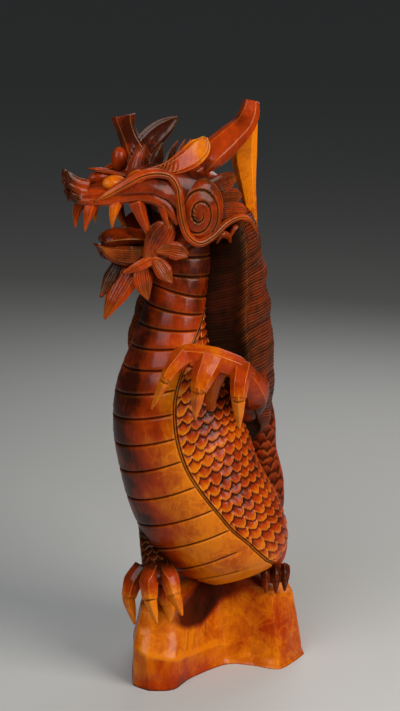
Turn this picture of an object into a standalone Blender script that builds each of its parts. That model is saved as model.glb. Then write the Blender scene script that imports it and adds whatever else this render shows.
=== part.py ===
"""A dragon carved with its rock plinth out of one short log, 0.50 m tall. Metres, +Z up.

The dragon rears on the plinth and looks along -Y. The origin is on the plinth's underside, below the
log's axis. The pose is drafted the way the carver marks it out, on the quarter face of the log: a pose
point counts right, away and up as seen from the front left corner, which is turned 45 degrees from -Y.
One pose unit is a share of the figure's own height, and a point's up is taken from the plinth's ledge.
"""

import math

import bmesh
import bpy
from mathutils import Vector

FIGURE_HEIGHT = 0.430
PLINTH_HEIGHT = 0.070
PLINTH_WIDTH = 0.158
PLATE_GROOVE_WIDTH = 0.0024
PLATE_GROOVE_DEPTH = 0.0015
BORDER_GROOVE_WIDTH = 0.0036
BORDER_GROOVE_DEPTH = 0.0024

POSE_HEIGHT = 430.0
POSE_LEDGE = 70.0
UNIT = FIGURE_HEIGHT / POSE_HEIGHT
QUARTER_TURN = math.radians(45.0)
HEAD_TURN = math.radians(27.0)
HEAD_CENTRE = (-20.0, -5.0)

WOOD_COLOUR = (0.42, 0.13, 0.025, 1.0)
WOOD_ROUGHNESS = 0.3
BODY_SIDES_ON_BELLY = 7
BODY_SIDES_ON_BACK = 11
CURVE_STEPS = 2
FLAT_ENOUGH = math.radians(3.0)
BOSS_SIDES = 10
BOSS_LEVELS = 6
WELD_DISTANCE = 0.00005
SHARP_EDGE = math.radians(35.0)

# A blade's broad flats reach this share of its half width. The rest is bevelled to the edge.
FLAT_SHARE = 0.55
# A finger is this deep for its width. Its claw is slimmer, and narrower again half way down.
FINGER_DEPTH_SHARE = 0.85
CLAW_WIDTH_SHARE = 0.8
CLAW_MIDDLE_SHARE = 0.74
# How far along the last bone of a finger its claw begins.
CLAW_START = 0.7
# The rock rises inside its top edge to a smaller ring under the belly, set a little to the back.
LEDGE_SHARE = 0.3
LEDGE_SETBACK = 5
LEDGE_HEIGHT = 114


def pose(right, away, up):
    """A pose point in metres: the quarter view turned back to the row's own X and Y."""
    cosine, sine = math.cos(QUARTER_TURN), math.sin(QUARTER_TURN)
    x = right * cosine - away * sine
    y = right * sine + away * cosine
    return Vector((x * UNIT, y * UNIT, PLINTH_HEIGHT + (up - POSE_LEDGE) * UNIT))


def head(forward, side, up):
    """A pose point given from the middle of the head: forward to the snout, side to the dragon's left."""
    cosine, sine = math.cos(HEAD_TURN), math.sin(HEAD_TURN)
    right = HEAD_CENTRE[0] - forward * cosine + side * sine
    away = HEAD_CENTRE[1] - forward * sine - side * cosine
    return pose(right, away, up)


def blend(table, at):
    """The row of values at one station, between the rows of a table sorted by its first column."""
    rising = table[0][0] < table[-1][0]
    rows = table if rising else list(reversed(table))
    if at <= rows[0][0]:
        return rows[0][1:]
    for low, high in zip(rows, rows[1:]):
        if at <= high[0]:
            share = (at - low[0]) / (high[0] - low[0])
            return tuple(a + (b - a) * share for a, b in zip(low[1:], high[1:]))
    return rows[-1][1:]


def smooth_path(points, steps=CURVE_STEPS):
    """Points on one smooth curve through the points given, as Catmull and Rom drew it."""
    ends = [points[0] * 2 - points[1], *points, points[-1] * 2 - points[-2]]
    path = []
    for before, start, end, after in zip(ends, ends[1:], ends[2:], ends[3:]):
        for step in range(steps):
            t = step / steps
            path.append(
                0.5
                * (
                    start * 2
                    + (end - before) * t
                    + (before * 2 - start * 5 + end * 4 - after) * t * t
                    + (start * 3 - before - end * 3 + after) * t**3
                )
            )
    path.append(points[-1].copy())
    return path


def smooth_values(values, steps=CURVE_STEPS):
    """The same curve through plain numbers, such as the widths along a path."""
    return [p.x for p in smooth_path([Vector((v, 0.0, 0.0)) for v in values], steps)]


def solid(name, mesh_builder):
    """A closed mesh object whose faces point out."""
    mesh = bpy.data.meshes.new(name)
    shape = bmesh.new()
    mesh_builder(shape)
    bmesh.ops.recalc_face_normals(shape, faces=shape.faces)
    shape.to_mesh(mesh)
    shape.free()
    return bpy.data.objects.new(name, mesh)


def skin(name, rings):
    """A loft through rings of equally many points, closed at both ends by a fan."""

    def build(shape):
        levels = [[shape.verts.new(point) for point in ring] for ring in rings]
        count = len(rings[0])
        for low, high in zip(levels, levels[1:]):
            for i in range(count):
                j = (i + 1) % count
                shape.faces.new((low[i], low[j], high[j], high[i]))
        for level in (levels[0], levels[-1]):
            centre = sum((v.co for v in level), Vector()) / count
            hub = shape.verts.new(centre)
            for i in range(count):
                shape.faces.new((level[i], level[(i + 1) % count], hub))

    return solid(name, build)


def oval(centre, across, upward, sides, squareness=1.0):
    """A ring round centre. Squareness under 1 fills the corners of its box."""
    ring = []
    for i in range(sides):
        angle = math.tau * (i + 0.5) / sides
        c, s = math.cos(angle), math.sin(angle)
        u = math.copysign(abs(c) ** squareness, c)
        v = math.copysign(abs(s) ** squareness, s)
        ring.append(centre + across * u + upward * v)
    return ring


def blade(name, spine, widths, thicknesses, facing, steps=CURVE_STEPS):
    """A flattened, pointed form along a spine, such as a leaf, an ear or a horn."""
    path = smooth_path(spine, steps)
    wide = smooth_values(widths, steps)
    thick = smooth_values(thicknesses, steps)
    rings = []
    for i, point in enumerate(path):
        ahead = path[min(i + 1, len(path) - 1)] - path[max(i - 1, 0)]
        side = ahead.cross(facing).normalized()
        normal = side.cross(ahead).normalized()
        half_width = side * wide[i] * UNIT / 2
        flat = half_width * FLAT_SHARE
        half_thickness = normal * thick[i] * UNIT / 2
        rings.append(
            [
                point + half_width,
                point + flat + half_thickness,
                point - flat + half_thickness,
                point - half_width,
                point - flat - half_thickness,
                point + flat - half_thickness,
            ]
        )
    return skin(name, rings)


def round_limb(name, spine, radii, steps=CURVE_STEPS):
    """A round, tapering form along a spine, such as an arm, a tail or a claw."""
    path = smooth_path(spine, steps)
    sizes = smooth_values(radii, steps)
    curve = bpy.data.curves.new(name, "CURVE")
    curve.dimensions = "3D"
    curve.bevel_depth = UNIT
    curve.bevel_resolution = 2
    curve.use_fill_caps = True
    spline = curve.splines.new("POLY")
    spline.points.add(len(path) - 1)
    for control, point, size in zip(spline.points, path, sizes):
        control.co = (*point, 1.0)
        control.radius = size
    drawn = bpy.data.objects.new(name + "_line", curve)
    bpy.context.scene.collection.objects.link(drawn)
    bpy.context.view_layer.update()
    evaluated = drawn.evaluated_get(bpy.context.evaluated_depsgraph_get())
    mesh = bpy.data.meshes.new_from_object(evaluated)
    limb = bpy.data.objects.new(name, mesh)
    limb.matrix_world = drawn.matrix_world
    bpy.data.objects.remove(drawn)
    shape = bmesh.new()
    shape.from_mesh(mesh)
    bmesh.ops.remove_doubles(shape, verts=shape.verts, dist=WELD_DISTANCE)
    bmesh.ops.recalc_face_normals(shape, faces=shape.faces)
    shape.to_mesh(mesh)
    shape.free()
    return limb


def boss(name, centre, radii, facing=None):
    """A rounded lump: a sphere pressed to three half sizes, the last along facing."""
    turn = (facing or Vector((0, 0, 1))).to_track_quat("Z", "Y")

    def build(shape):
        bmesh.ops.create_uvsphere(shape, u_segments=BOSS_SIDES, v_segments=BOSS_LEVELS, radius=UNIT)
        for vertex in shape.verts:
            pressed = Vector(size * co for size, co in zip(radii, vertex.co))
            vertex.co = centre + turn @ pressed

    return solid(name, build)


# The body is read from level slices: up, left edge, right edge, middle of its depth, half its depth.
BODY_SLICES = [
    (420, -54, -10, 4, 22),
    (400, -56, -8, 4, 26),
    (363, -60, -5, 0, 27),
    (331, -63, -9, -5, 29),
    (296, -75, -6, -8, 36),
    (261, -88, 7, -10, 47),
    (219, -92, 25, -8, 57),
    (181, -87, 38, -4, 61),
    (150, -80, 54, 0, 63),
    (121, -69, 63, 3, 61),
    (104, -60, 62, 4, 56),
    (92, -49, 55, 4, 47),
    (82, -36, 43, 4, 37),
    (75, -20, 27, 4, 25),
    (70, -8, 12, 4, 12),
]
# Bearings of the belly band's two borders, in degrees left of the quarter view, at each height.
BELLY_BORDERS = [
    (375, -88, 100),
    (345, -80, 98),
    (325, -62, 94),
    (292, -28, 90),
    (262, -7, 86),
    (234, 0, 82),
    (200, -1, 80),
    (170, -8, 80),
    (147, -14, 82),
    (133, -18, 84),
    (118, -25, 86),
    (104, -33, 90),
    (90, -46, 93),
    (76, -66, 96),
]
# The lines between the belly plates: height at the body's middle, and how far its right side is lifted.
PLATE_LINES = [
    (372, -2),
    (356, -3),
    (342, -7),
    (326, -5),
    (311, -2),
    (296, 2),
    (280, 4),
    (263, 9),
    (244, 12),
    (224, 17),
    (204, 22),
    (179, 23),
    (155, 24),
    (133, 25),
    (111, 26),
    (92, 17),
]
BODY_TOP = (412, 0)
BODY_BOTTOM = (77, 4)


def body_point(bearing, middle_up, lift, inset=0.0):
    """A point of the body's surface at a bearing, on the tilted line that goes round at middle_up."""
    angle = math.radians(bearing)
    up = middle_up - lift * math.sin(angle)
    left, right, away, depth = blend(BODY_SLICES, up)
    half_width = (right - left) / 2 - inset
    middle = (right + left) / 2
    return pose(
        middle - half_width * math.sin(angle), away - (depth - inset) * math.cos(angle), up
    )


def body_ring(middle_up, lift, groove):
    """One ring of the body. The belly band is pressed in by groove, and its two borders are cut."""
    near, far = blend(BELLY_BORDERS, middle_up)
    depth = blend(BODY_SLICES, middle_up)[-1]
    rim = math.degrees(BORDER_GROOVE_WIDTH / UNIT / 2 / depth)
    border_cut = BORDER_GROOVE_DEPTH / UNIT
    in_front = far - near - 2 * rim
    behind = 360 + near - far - 2 * rim
    ring = [body_point(near, middle_up, lift, border_cut)]
    for i in range(BODY_SIDES_ON_BELLY + 1):
        bearing = near + rim + in_front * i / BODY_SIDES_ON_BELLY
        ring.append(body_point(bearing, middle_up, lift, groove / UNIT))
    ring.append(body_point(far, middle_up, lift, border_cut))
    for i in range(BODY_SIDES_ON_BACK + 1):
        bearing = far + rim + behind * i / BODY_SIDES_ON_BACK
        ring.append(body_point(bearing, middle_up, lift))
    return ring


def make_body():
    """The trunk, from the throat to the egg of the belly that sits on the rock."""
    half_groove = PLATE_GROOVE_WIDTH / UNIT / 2
    rings = [body_ring(*BODY_TOP, 0.0)]
    for up, lift in PLATE_LINES:
        rings.append(body_ring(up + half_groove, lift, 0.0))
        rings.append(body_ring(up, lift, PLATE_GROOVE_DEPTH))
        rings.append(body_ring(up - half_groove, lift, 0.0))
    rings.append(body_ring(*BODY_BOTTOM, 0.0))
    return skin("body", rings)


# The mane at each height: its left side ridge, its back left corner and its right side ridge.
MANE_LEVELS = [
    (417, (2, -2), (14, 6), (-38, 16)),
    (410, (10, -6), (24, 10), (-42, 20)),
    (400, (19, -14), (31, 14), (-46, 22)),
    (386, (23, -22), (36, 18), (-52, 22)),
    (366, (24, -28), (39, 22), (-58, 26)),
    (352, (24, -30), (43, 23), (-62, 27)),
    (336, (24, -32), (43, 25), (-66, 28)),
    (322, (23, -33), (47, 26), (-72, 29)),
    (305, (24, -34), (47, 28), (-76, 30)),
    (291, (26, -34), (50, 29), (-80, 30)),
    (273, (27, -34), (50, 30), (-72, 32)),
    (252, (29, -30), (51, 30), (-62, 34)),
    (232, (34, -20), (49, 28), (-50, 36)),
    (214, (38, -2), (45, 24), (-36, 38)),
    (198, (30, 16), (36, 26), (-8, 44)),
]


def make_mane():
    """The mane behind the neck, spread to a ridge on each side."""
    rings = []
    for up, near_ridge, corner, far_ridge in MANE_LEVELS:
        left, right, away, depth = blend(BODY_SLICES, up)
        half_width = (right - left) / 2
        middle = (right + left) / 2
        plan = [
            (middle + half_width * 0.55, away - depth * 0.15),
            (near_ridge[0] * 0.6 + (middle + half_width) * 0.4, near_ridge[1] * 0.75 - 1),
            near_ridge,
            (near_ridge[0] * 0.45 + corner[0] * 0.55 + 3, (near_ridge[1] + corner[1]) / 2),
            corner,
            (corner[0] - 14, corner[1] + 17),
            ((corner[0] + far_ridge[0]) / 2 + 6, corner[1] + 37),
            (far_ridge[0] * 0.6 + 4, far_ridge[1] + 20),
            (far_ridge[0] + 6, far_ridge[1] + 13),
            far_ridge,
            (far_ridge[0] * 0.5 + (middle - half_width) * 0.5, far_ridge[1] - 14),
            (middle - half_width * 0.55, away + depth * 0.1),
        ]
        rings.append([pose(r, a, up) for r, a in plan])
    return skin("mane", rings)


def make_tail():
    """The tail, from the back of the belly up the dragon's back into the mane."""
    spine = [
        pose(22, 22, 108),
        pose(40, 38, 122),
        pose(44, 42, 150),
        pose(38, 40, 182),
        pose(37, 34, 214),
        pose(34, 30, 240),
    ]
    return round_limb("tail", spine, [22, 19, 17, 16, 15, 12])


# Ground, shoulder and top of the rock's wall at each corner: right and away in hundredths of half the
# plinth's width, and the shoulder's and the top's height in hundredths of the plinth's height.
PLINTH_CORNERS = [
    ((-76, -99), (-80, -91, 43), (-73, -68, 89)),
    ((-49, -96), (-48, -87, 36), (-46, -61, 86)),
    ((-30, -66), (-26, -58, 30), (-25, -38, 80)),
    ((9, -30), (6, -24, 25), (4, -6, 92)),
    ((38, -32), (37, -26, 14), (33, -6, 97)),
    ((71, -42), (70, -37, 11), (61, -14, 94)),
    ((100, 0), (97, 0, 20), (87, 3, 83)),
    ((94, 33), (90, 32, 43), (84, 28, 86)),
    ((73, 71), (71, 68, 43), (63, 61, 89)),
    ((35, 96), (34, 92, 43), (30, 78, 91)),
    ((-5, 101), (-5, 97, 40), (-5, 81, 89)),
    ((-48, 86), (-47, 84, 43), (-42, 70, 91)),
    ((-78, 58), (-76, 56, 43), (-69, 46, 89)),
    ((-96, 13), (-94, 11, 43), (-84, 8, 86)),
    ((-97, -38), (-96, -38, 46), (-88, -35, 89)),
    ((-94, -84), (-94, -78, 49), (-86, -63, 89)),
]


def rock(right, away, up):
    """A plinth point from hundredths of half its width and of its height."""
    half = PLINTH_WIDTH / 200
    cosine, sine = math.cos(QUARTER_TURN), math.sin(QUARTER_TURN)
    x = right * cosine - away * sine
    y = right * sine + away * cosine
    return Vector((x * half, y * half, up / 100 * PLINTH_HEIGHT))


def make_plinth():
    """The rock: steep chiselled walls with a cove on the near side, flat below."""
    ground = [rock(*corner[0], 0) for corner in PLINTH_CORNERS]
    shoulder = [rock(*corner[1]) for corner in PLINTH_CORNERS]
    top = [rock(*corner[2]) for corner in PLINTH_CORNERS]
    ledge = [
        rock(right * LEDGE_SHARE, away * LEDGE_SHARE + LEDGE_SETBACK, LEDGE_HEIGHT)
        for _, _, (right, away, _) in PLINTH_CORNERS
    ]
    return skin("plinth", [ground, shoulder, top, ledge])


def make_head_core():
    """The skull and the upper jaw, from the nape to the snout."""
    stations = [
        (-22, 16, 404, 436),
        (-12, 28, 394, 443),
        (8, 33, 393, 448),
        (24, 32, 400, 452),
        (37, 30, 413, 452),
        (50, 27, 421, 450),
        (65, 23, 423, 445),
        (80, 19, 423, 439),
        (95, 15, 422, 436),
        (108, 11, 422, 434),
        (114, 7, 424, 432),
    ]
    rings = []
    for forward, half_width, low, high in stations:
        centre = head(forward, 0, (low + high) / 2)
        across = head(forward, half_width, (low + high) / 2) - centre
        upward = Vector((0, 0, (high - low) / 2 * UNIT))
        rings.append(oval(centre, across, upward, 12, 0.7))
    return skin("skull", rings)


def make_jaw():
    """The lower jaw, a bowl that drops away from the hinge."""
    stations = [
        (-2, 20, 380, 404),
        (22, 23, 372, 396),
        (45, 21, 366, 386),
        (60, 18, 365, 385),
        (74, 14, 367, 385),
        (86, 6, 374, 385),
    ]
    rings = []
    for forward, half_width, low, high in stations:
        centre = head(forward, 0, (low + high) / 2)
        across = head(forward, half_width, (low + high) / 2) - centre
        upward = Vector((0, 0, (high - low) / 2 * UNIT))
        rings.append(oval(centre, across, upward, 10, 0.75))
    return skin("jaw", rings)


def make_mouth():
    """The tongue and the fangs, which are flat wedges."""
    across = head(0, 1, POSE_LEDGE) - head(0, 0, POSE_LEDGE)
    parts = [
        blade(
            "tongue",
            [head(44, 0, 380), head(60, 0, 387), head(73, 0, 393), head(81, 0, 401)],
            [28, 26, 22, 10],
            [16, 14, 10, 4],
            Vector((0, 0, 1)),
        )
    ]
    fangs = [
        (99, 12, 424, 107, 400, 16),
        (80, 17, 424, 85, 402, 13),
        (65, 22, 424, 51, 391, 18),
        (44, 27, 420, 37, 402, 12),
    ]
    for forward, side, up, tip_forward, tip_up, width in fangs:
        for hand in (1, -1):
            root = head(forward, side * hand, up)
            bend = head((forward + tip_forward) / 2 + 1.5, (side + 1.5) * hand, (up + tip_up) / 2)
            tip = head(tip_forward, side * hand, tip_up)
            parts.append(blade("fang", [root, bend, tip], [width, width * 0.55, 1], [9, 6, 1], across, 1))
    return parts


def make_face(hand):
    """What shows on one side of the head. Hand is 1 on the dragon's left and -1 on its right."""
    up = Vector((0, 0, 1))
    out = (head(0, hand, POSE_LEDGE) - head(0, 0, POSE_LEDGE)).normalized()
    forward = (head(1, 0, POSE_LEDGE) - head(0, 0, POSE_LEDGE)).normalized()

    steps = CURVE_STEPS if hand == 1 else 1

    def flat(name, points, widths, thicknesses, facing=out):
        spine = [head(f, side * hand, level) for f, side, level in points]
        return blade(name, spine, widths, thicknesses, facing, steps)

    brow = [(73, 17, 438), (65, 22, 443), (55, 27, 447), (43, 29, 445), (35, 31, 437), (31, 33, 424)]
    brow += [(28, 34, 407), (23, 34, 393), (14, 34, 387), (-1, 33, 390), (-16, 28, 398), (-33, 22, 402)]
    lip = [(112, 6, 424), (100, 13, 423), (84, 18, 422), (70, 22, 424)]
    lip += [(55, 27, 425), (43, 29, 419), (31, 31, 402)]
    nostril = [(68, 13, 440), (82, 14, 442), (94, 12, 444)]
    nose_curl = [(97, 5, 430), (108, 3, 436), (112, 3, 443), (110, 3, 451)]
    lip_leaf = [(70, 12, 365), (58, 17, 370), (44, 19, 375)]
    return [
        flat("brow", brow, [4, 7] + [8] * 9 + [4], [6, 8, 9] + [8] * 9, up * 0.5 + out),
        flat("lip", lip, [6, 8, 8, 8, 9, 8, 6], [6, 6, 6, 6, 6, 6, 5]),
        flat("nostril", nostril, [10, 13, 6], [6, 9, 5], out + up * 0.5),
        flat("nose_curl", nose_curl, [11, 9, 7, 3], [8, 7, 6, 4]),
        boss("disc", head(9, 29 * hand, 415), (16, 25, 9), out),
        flat("frill_top", [(4, 27, 432), (-8, 26, 436), (-20, 23, 438)], [18, 15, 8], [12, 9, 6]),
        flat("frill_middle", [(2, 27, 422), (-16, 25, 424), (-32, 21, 424)], [20, 20, 11], [12, 9, 6]),
        flat("frill_low", [(2, 27, 410), (-18, 24, 410), (-36, 19, 409)], [20, 20, 11], [12, 9, 6]),
        flat("cheek_leaf", [(50, 23, 380), (44, 26, 391), (37, 27, 403)], [16, 19, 3], [6, 6, 3]),
        flat("cheek_leaf_back", [(46, 24, 386), (38, 28, 390), (30, 30, 392)], [14, 12, 3], [6, 5, 3]),
        flat("jaw_leaf_back", [(44, 23, 382), (33, 28, 381), (21, 30, 375)], [12, 15, 3], [8, 6, 3]),
        flat("jaw_leaf_lower", [(47, 18, 375), (42, 22, 367), (36, 25, 356)], [14, 17, 3], [8, 6, 3]),
        flat("jaw_leaf_front", [(60, 12, 368), (55, 15, 356), (51, 18, 340)], [14, 17, 3], [8, 6, 3]),
        flat("lip_leaf", lip_leaf, [7, 12, 3], [6, 8, 3], out - up * 0.3),
    ]


def make_ears_and_horns():
    """The spoon ears and the two horns, with the prop left under the tip of the dragon's left one."""
    toward = pose(0, -1, POSE_LEDGE) - pose(0, 0, POSE_LEDGE)
    ear_left = [
        head(48, 20, 444),
        head(34, 26, 451),
        head(20, 27, 457),
        head(10, 27, 463),
        head(6, 26, 471),
    ]
    ear_right = [head(52, -14, 448), head(40, -18, 463), head(26, -20, 473), head(6, -24, 483)]
    horn_left = [
        head(16, 12, 446),
        pose(-8, -22, 457),
        pose(7, -10, 468),
        pose(22, 4, 481),
        pose(29, 13, 496.5),
    ]
    horn_right = [head(40, -16, 440), head(46, -20, 458), head(52, -23, 474), head(55, -25, 489)]
    prop = [
        pose(25, 8, 482),
        pose(22, 14, 455),
        pose(24, 16, 430),
        pose(28, 14, 402),
        pose(29, 12, 380),
    ]
    return [
        blade("ear_left", ear_left, [10, 14, 22, 22, 9], [8, 6, 5, 5, 4], toward),
        blade("ear_right", ear_right, [16, 18, 16, 3], [7, 6, 5, 3], toward),
        blade("horn_left", horn_left, [30, 27, 24, 18, 14], [16, 14, 12, 12, 12], toward),
        blade("horn_right", horn_right, [28, 24, 18, 20], [15, 13, 11, 12], toward),
        blade("prop", prop, [18, 24, 22, 15, 12], [10, 11, 11, 10, 10], toward),
    ]


def make_crest():
    """The eyes, and between them the row of spines that runs back to the nape."""
    across = head(0, 1, POSE_LEDGE) - head(0, 0, POSE_LEDGE)
    spines = [
        (57, 443, 47, 466, 19),
        (40, 444, 31, 467, 16),
        (28, 446, 20, 468, 10),
        (20, 446, 12, 469, 9),
        (12, 446, 4, 470, 9),
    ]
    parts = [
        boss("eye_right", head(60, -18, 450), (8, 8, 11)),
        boss("eye_left", head(56, 20, 441), (8, 8, 8)),
    ]
    for forward, up, tip_forward, tip_up, width in spines:
        bend = head(forward * 0.6 + tip_forward * 0.4, 0, (up + tip_up) / 2)
        spine = [head(forward, 0, up), bend, head(tip_forward, 0, tip_up)]
        parts.append(blade("spine", spine, [width, width * 0.7, 1.5], [7, 4, 1.5], across))
    return parts


def make_beard():
    """The middle leaves of the beard: a long one, and a shorter one on the dragon's right."""
    out = head(1, 0.6, POSE_LEDGE) - head(0, 0, POSE_LEDGE)
    long_leaf = [head(64, 4, 366), head(72, 4, 350), head(80, 3, 337), head(86, 2, 324)]
    short_leaf = [head(72, -6, 368), head(78, -6, 356), head(86, -6, 341)]
    return [
        blade("beard_long", long_leaf, [18, 22, 16, 4], [12, 9, 8, 4], out),
        blade("beard_short", short_leaf, [14, 16, 3], [9, 7, 3], out),
    ]


def make_digit(name, joints, widths, facing, steps=CURVE_STEPS):
    """A finger or toe with its claw. The finger swells at the last knuckle, and the claw is slimmer."""
    depths = [width * FINGER_DEPTH_SHARE for width in widths]
    finger = blade(name + "_finger", joints[:-1], widths[:-1], depths[:-1], facing, steps)
    slim = widths[-2] * CLAW_WIDTH_SHARE
    knuckle, root, tip = joints[-3:]
    claw_spine = [knuckle.lerp(root, CLAW_START), root, (root + tip) / 2, tip]
    claw_sizes = [slim, slim, slim * CLAW_MIDDLE_SHARE, widths[-1]]
    claw = blade(name + "_claw", claw_spine, claw_sizes, claw_sizes, facing, 1)
    return [finger, claw]


def make_left_hand():
    """The raised left arm: shoulder, forearm, a broad palm and three hanging fingers with a thumb."""
    toward = pose(0, -1, POSE_LEDGE) - pose(0, 0, POSE_LEDGE)
    palm = [
        pose(-37, -74, 296),
        pose(-24, -72, 297),
        pose(-3, -70, 293),
        pose(14, -67, 286),
        pose(26, -62, 279),
    ]
    outer = [pose(-29, -73, 298), pose(-38, -82, 290), pose(-44, -84, 282), pose(-56, -80, 255)]
    middle = [pose(-8, -71, 294), pose(-14, -83, 284), pose(-17, -88, 273), pose(-20, -84, 247)]
    inner = [pose(19, -67, 287), pose(17, -80, 277), pose(15, -82, 267), pose(17, -76, 237)]
    fingers = [(outer, [22, 15, 12, 2]), (middle, [26, 18, 13, 2.5]), (inner, [20, 16, 13, 2])]
    parts = [
        boss("shoulder_left", pose(25, -7, 250), (19, 20, 28)),
        round_limb(
            "arm_left",
            [pose(26, -8, 250), pose(31, -34, 257), pose(25, -54, 272), pose(16, -63, 284)],
            [16, 13, 11, 10],
        ),
        blade("palm_left", palm, [14, 20, 22, 20, 14], [14, 18, 19, 18, 12], toward),
        round_limb("thumb_left", [pose(2, -66, 288), pose(-5, -63, 266), pose(-7, -65, 249)], [8, 6, 2.5]),
    ]
    for i, (joints, widths) in enumerate(fingers):
        parts += make_digit(f"left_hand_{i}", joints, widths, toward)
    return parts


def make_right_arm():
    """The right arm, held flat to the far flank, plainer than the left."""
    outward = pose(-1, 0.6, POSE_LEDGE) - pose(0, 0, POSE_LEDGE)
    arm = [pose(-50, 30, 248), pose(-62, 44, 230), pose(-74, 38, 214), pose(-80, 26, 206)]
    parts = [
        boss("shoulder_right", pose(-48, 26, 250), (18, 18, 26)),
        round_limb("arm_right", arm, [16, 13, 12, 11]),
    ]
    for i in range(3):
        spread = i * 9
        joints = [
            pose(-77, 28 - spread, 208),
            pose(-83, 22 - spread, 200),
            pose(-84, 16 - spread, 190),
            pose(-82, 12 - spread, 170),
        ]
        parts += make_digit(f"right_hand_{i}", joints, [15, 13, 11, 2.5], outward, 1)
    return parts


def make_feet():
    """The right foot on the front of the rock and the left foot behind the belly."""
    toward = pose(0, -1, POSE_LEDGE) - pose(0, 0, POSE_LEDGE)
    shank = [pose(-56, -6, 128), pose(-57, -14, 108), pose(-54, -34, 96)]
    parts = [
        boss("thigh_right", pose(-50, 0, 124), (20, 20, 30)),
        round_limb("shank_right", shank, [15, 12, 12]),
        boss("foot_right", pose(-55, -38, 92), (19, 14, 11)),
        boss("thigh_left", pose(44, 10, 104), (19, 20, 30)),
        boss("foot_left", pose(51, 0, 79), (13, 12, 10)),
    ]
    right_toes = [
        [pose(-66, -36, 98), pose(-74, -42, 88), pose(-78, -46, 74), pose(-73, -50, 50)],
        [pose(-56, -44, 100), pose(-60, -56, 92), pose(-59, -61, 78), pose(-53, -65, 57)],
        [pose(-46, -44, 99), pose(-42, -54, 94), pose(-38, -60, 82), pose(-31, -64, 64)],
        [pose(-48, -40, 84), pose(-45, -46, 78), pose(-43, -50, 68), pose(-42, -52, 50)],
    ]
    for i, joints in enumerate(right_toes):
        parts += make_digit(f"right_foot_{i}", joints, [17, 18, 14, 2.5], toward)
    left_toes = [
        [pose(44, -2, 84), pose(43, -10, 82), pose(43, -13, 76), pose(43, -14, 65)],
        [pose(52, -4, 86), pose(52, -11, 83), pose(52, -14, 77), pose(52, -15, 65)],
        [pose(60, -2, 86), pose(60, -9, 83), pose(60, -12, 77), pose(60, -12, 66)],
    ]
    for i, joints in enumerate(left_toes):
        parts += make_digit(f"left_foot_{i}", joints, [10, 10, 8, 2], toward)
    return parts


def wood():
    material = bpy.data.materials.new("varnished_wood")
    material.use_nodes = True
    shader = material.node_tree.nodes["Principled BSDF"]
    shader.inputs["Base Color"].default_value = WOOD_COLOUR
    shader.inputs["Roughness"].default_value = WOOD_ROUGHNESS
    shader.inputs["Metallic"].default_value = 0.0
    return material


def main():
    for old in list(bpy.data.objects):
        bpy.data.objects.remove(old)
    carving = bpy.data.collections.new("Dragon carving")
    forms = bpy.data.collections.new("Carved forms")
    for collection in (carving, forms):
        bpy.context.scene.collection.children.link(collection)

    dragon = make_body()
    dragon.name = "dragon_carving"
    dragon.data.materials.append(wood())
    carving.objects.link(dragon)

    parts = [make_plinth(), make_mane(), make_tail(), make_head_core(), make_jaw()]
    parts += make_mouth() + make_face(1) + make_face(-1) + make_ears_and_horns()
    parts += make_crest() + make_beard() + make_left_hand() + make_right_arm() + make_feet()
    for part in parts:
        part.hide_render = True
        part.display_type = "WIRE"
        forms.objects.link(part)

    union = dragon.modifiers.new("One piece of wood", "BOOLEAN")
    union.operation = "UNION"
    union.operand_type = "COLLECTION"
    union.collection = forms
    union.solver = "EXACT"
    trim = dragon.modifiers.new("Fewer slivers along the joins", "DECIMATE")
    trim.decimate_type = "DISSOLVE"
    trim.angle_limit = FLAT_ENOUGH
    dragon.data.set_sharp_from_angle(angle=SHARP_EDGE)
    bpy.context.view_layer.update()


main()
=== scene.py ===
# %% [markdown]
# # A dragon carved from one log
# The real object is one log, cut by hand into a rearing dragon on a rock, stained and varnished.
# A carver works from big forms to small marks, and so does this file. Each form is a sheet of
# points wrapped round a line. The knife's marks are then pressed into the sheet along its normals,
# so that the grooves and scales are real relief, and the stain is worked out from that relief,
# partly as painted shade in the hollows and painted highlights on the ridges.

# %% Begin with the imported part
import itertools
import math

import bpy
import numpy as np
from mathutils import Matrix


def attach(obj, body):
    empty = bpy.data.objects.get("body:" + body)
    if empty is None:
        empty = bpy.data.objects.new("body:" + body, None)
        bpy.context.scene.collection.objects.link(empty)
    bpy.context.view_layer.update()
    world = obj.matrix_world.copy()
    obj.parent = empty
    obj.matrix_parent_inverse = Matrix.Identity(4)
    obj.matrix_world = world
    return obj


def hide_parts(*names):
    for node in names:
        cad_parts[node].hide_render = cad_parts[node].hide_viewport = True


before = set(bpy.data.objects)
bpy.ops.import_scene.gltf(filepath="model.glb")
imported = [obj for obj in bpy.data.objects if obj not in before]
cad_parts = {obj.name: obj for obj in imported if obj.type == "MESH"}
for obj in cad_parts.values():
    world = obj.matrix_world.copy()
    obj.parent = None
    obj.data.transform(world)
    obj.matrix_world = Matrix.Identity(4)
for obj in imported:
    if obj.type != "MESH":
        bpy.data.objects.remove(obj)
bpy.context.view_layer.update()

# %% [markdown]
# ## Where a point of the carving is
# The pose was drafted on the quarter face of the log, so points are counted right, away and up as
# seen from its front left corner, in millimetres, with the head on a frame of its own. Keeping the
# same two frames here as in the part's source makes every form land where the solid has it.

# %% The carver's two frames
MILLIMETRE = 0.001
QUARTER_TURN = math.radians(45.0)
HEAD_TURN = math.radians(27.0)
HEAD_CENTRE = (-20.0, -5.0)


def pose(right, away, up):
    """A point in metres from millimetres right, away and up, seen from the quarter view."""
    right, away, up = np.broadcast_arrays(np.asarray(right, float), away, up)
    x = right * math.cos(QUARTER_TURN) - away * math.sin(QUARTER_TURN)
    y = right * math.sin(QUARTER_TURN) + away * math.cos(QUARTER_TURN)
    return np.stack([x, y, up], axis=-1) * MILLIMETRE


def posed(points):
    """Several points of the pose at once."""
    return list(pose(*np.transpose(points)))


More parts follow.
